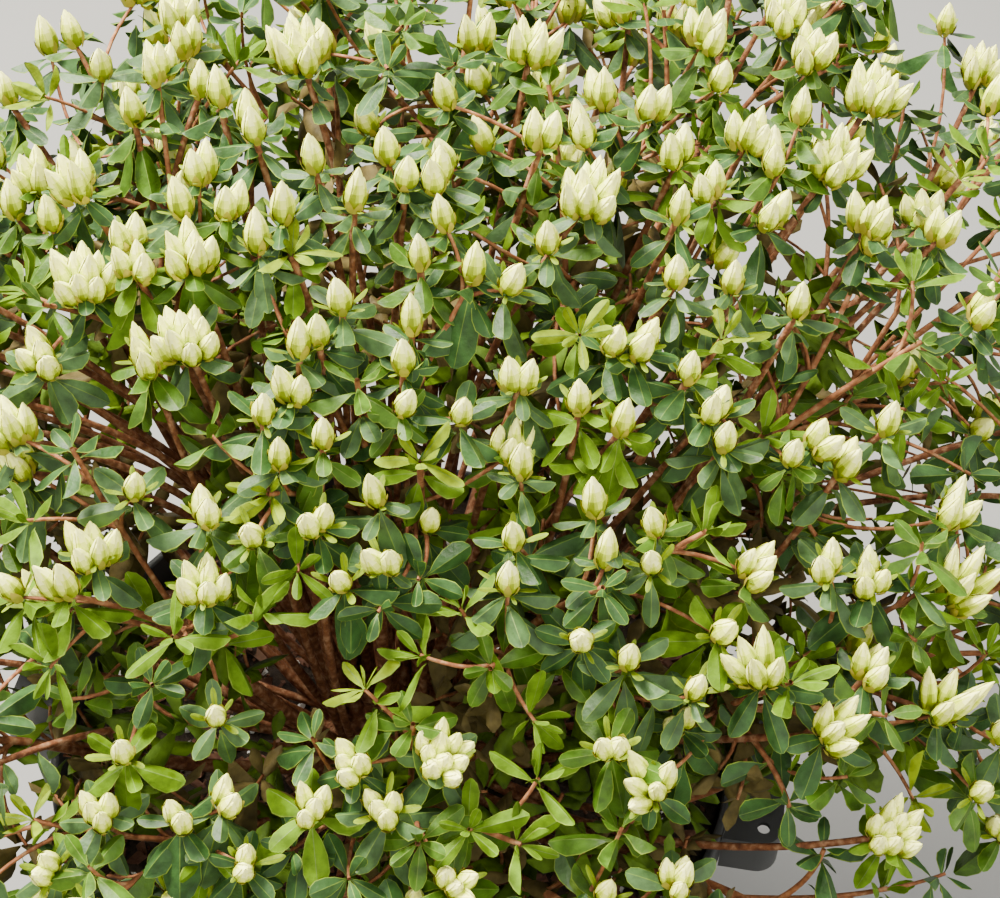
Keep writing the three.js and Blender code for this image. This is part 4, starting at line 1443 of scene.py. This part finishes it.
def dress_foliage(leaves):
    for kind, colour in LEAF_COLOURS.items():
        finish = leaf_surface(f"leaf_{kind}", colour, **(MATT if kind in (FRESH, YOUNG) else {}))
        replaced = node_names("foliage") if kind == DARK else ()
        blades = leaf_grids(leaves, (kind,))
        add_grids(f"leaf_blades_{kind}", blades, finish, LEAF_PARTS == BLADE, replaced=replaced)
    for kind, colour in INNER_COLOURS.items():
        inner = plain_leaves(*leaf_grids(leaves, (kind,)))
        add_grids(f"leaf_blades_{kind}", inner, leaf_surface(f"leaf_{kind}", colour, **MATT))
    outer = leaf_grids(leaves, tuple(LEAF_COLOURS))
    add_grids("leaf_ribs", outer, leaf_surface("leaf_rib", RIB_COLOUR), LEAF_PARTS == RIB)
    add_grids("leaf_edges_hair_and_highlight", outer, leaf_surface("leaf_edge_hair_and_highlight", EDGE_HAIR_AND_HIGHLIGHT_COLOUR, **MATT), LEAF_PARTS == EDGE)


def dress_buds(buds, scales):
    petals = petal_grids(buds)
    for name, kind, low, high in PETAL_PARTS:
        material = petal_surface(name, low, high)
        add_grids(name, petals, material, PETAL_TINTS == kind)
    add_grids("petal_hearts", heart_grids(buds), material)
    add_grids("bud_scales", scale_grids(scales), surface("bud_scale"))


def dress_limbs(sides, long_stems, random):
    bark = surface("bark")
    limbs = []
    for stem in stems:
        limbs.append(limb_shape(stem["line"], STEM_RADII, random))
        limbs.append(limb_shape(stub_line(stem), STUB_RADII, random))
        targets = [twig["line"][0] for twig in sides if twig["stem"] is stem]
        for number, target in enumerate(targets[:COMPANIONS], stem["index"]):
            line = companion_line(stem, number, target, random)
            limbs.append(limb_shape(line, COMPANION_RADII, random, SLENDER_SIDES))
    for twig in long_stems:
        limbs.append(limb_shape(twig["line"], LONG_RADII, random, SLENDER_SIDES))
    add_piece("stems", join(limbs), bark, node_names("stem"))
    add_piece("stool_bark", stool_shape(random), bark, ("stool",))


def dress_twigs(mains, sides, shoots):
    twigs = [sweep(twig["line"], *MAIN_FORM) for twig in mains]
    twigs += [sweep(twig["line"], *SIDE_FORM) for twig in sides]
    twigs += [sweep(twig["line"], *(INNER_FORM if twig["inner"] else SHOOT_FORM)) for twig in shoots]
    add_piece("twigs", join(twigs), surface("young_bark"))


def dress_pot():
    plastic = surface("pot_plastic")
    add_piece("pot_shell", pot_shape(), plastic, ("pot",))
    make_ear("pot_ear_right", EAR_TURN, plastic)
    make_ear("pot_ear_left", EAR_TURN + math.pi, plastic)


def dress_compost(random):
    add_piece("compost_surface", compost_shape(random), surface("compost"), ("compost",))
    chips = join([chips_shape(*LARGE_CHIPS, random), chips_shape(*SMALL_CHIPS, random)])
    add_piece("compost_chips", chips, surface("bark_chip"), smooth=False)
    add_piece("compost_grit", chips_shape(*GRIT, random), surface("perlite"), smooth=False)
    add_grids("fallen_leaves", fallen_leaves(random), surface("dry_leaf"), slot="compost")


def build_plant():
    random = np.random.default_rng(PLANT_SEED)
    mains, sides, shoots, long_stems = grow_crown()
    leaves, buds, scales = [], [], []
    for twig in mains + sides + shoots + long_stems:
        dress_tip(twig, leaves, buds, scales, random)
    dress_limbs(sides, long_stems, random)
    dress_twigs(mains, sides, shoots)
    dress_foliage(leaves)
    dress_buds(buds, scales)
    dress_pot()
    dress_compost(random)


# Studio
FLOOR_HALF = 20
WORLD_COLOUR = (1, 0.98, 0.92, 1)
WORLD_STRENGTH = 2.0
LAMP_AIM = np.array([0, 0, 0.4])

# Lamps: name, place, width, power and colour
LAMPS = (
    ("key", (-1.0, 0.9, 2.6), 1.0, 480, (1, 0.95, 0.83)),
    ("fill", (1.5, -1.4, 2.2), 2.4, 35, (1, 0.98, 0.94)),
)


def add_area(name, place, size, power, colour):
    """A round lamp that shines on the crown."""
    data = bpy.data.lights.new(name, "AREA")
    data.shape = "DISK"
    data.size = size
    data.energy = power
    data.color = colour
    light = add_object(name, data)
    light.location = place
    way = LAMP_AIM - place
    pitch = math.acos(-way[2] / np.linalg.norm(way))
    light.rotation_euler = (pitch, 0, math.atan2(way[1], way[0]) - math.pi / 2)


def add_studio():
    mesh = bpy.data.meshes.new("floor")
    corners = [(x * FLOOR_HALF, y * FLOOR_HALF, 0) for x, y in ((-1, -1), (1, -1), (1, 1), (-1, 1))]
    mesh.from_pydata(corners, [], [(0, 1, 2, 3)])
    mesh.materials.append(surface("floor"))
    add_object("floor", mesh)
    world = bpy.data.worlds.new("studio")
    world.use_nodes = True
    background = world.node_tree.nodes["Background"]
    background.inputs["Color"].default_value = WORLD_COLOUR
    background.inputs["Strength"].default_value = WORLD_STRENGTH
    bpy.context.scene.world = world
    for lamp in LAMPS:
        add_area(*lamp)


def add_camera():
    data = bpy.data.cameras.new("camera")
    data.lens = LENS
    data.sensor_width = SENSOR_WIDTH
    camera = add_object("camera", data)
    camera.location = CAMERA_PLACE * MM
    camera.rotation_euler = (math.pi / 2 - CAMERA_PITCH, 0, 0)
    bpy.context.scene.camera = camera


add_camera()
add_studio()
build_plant()
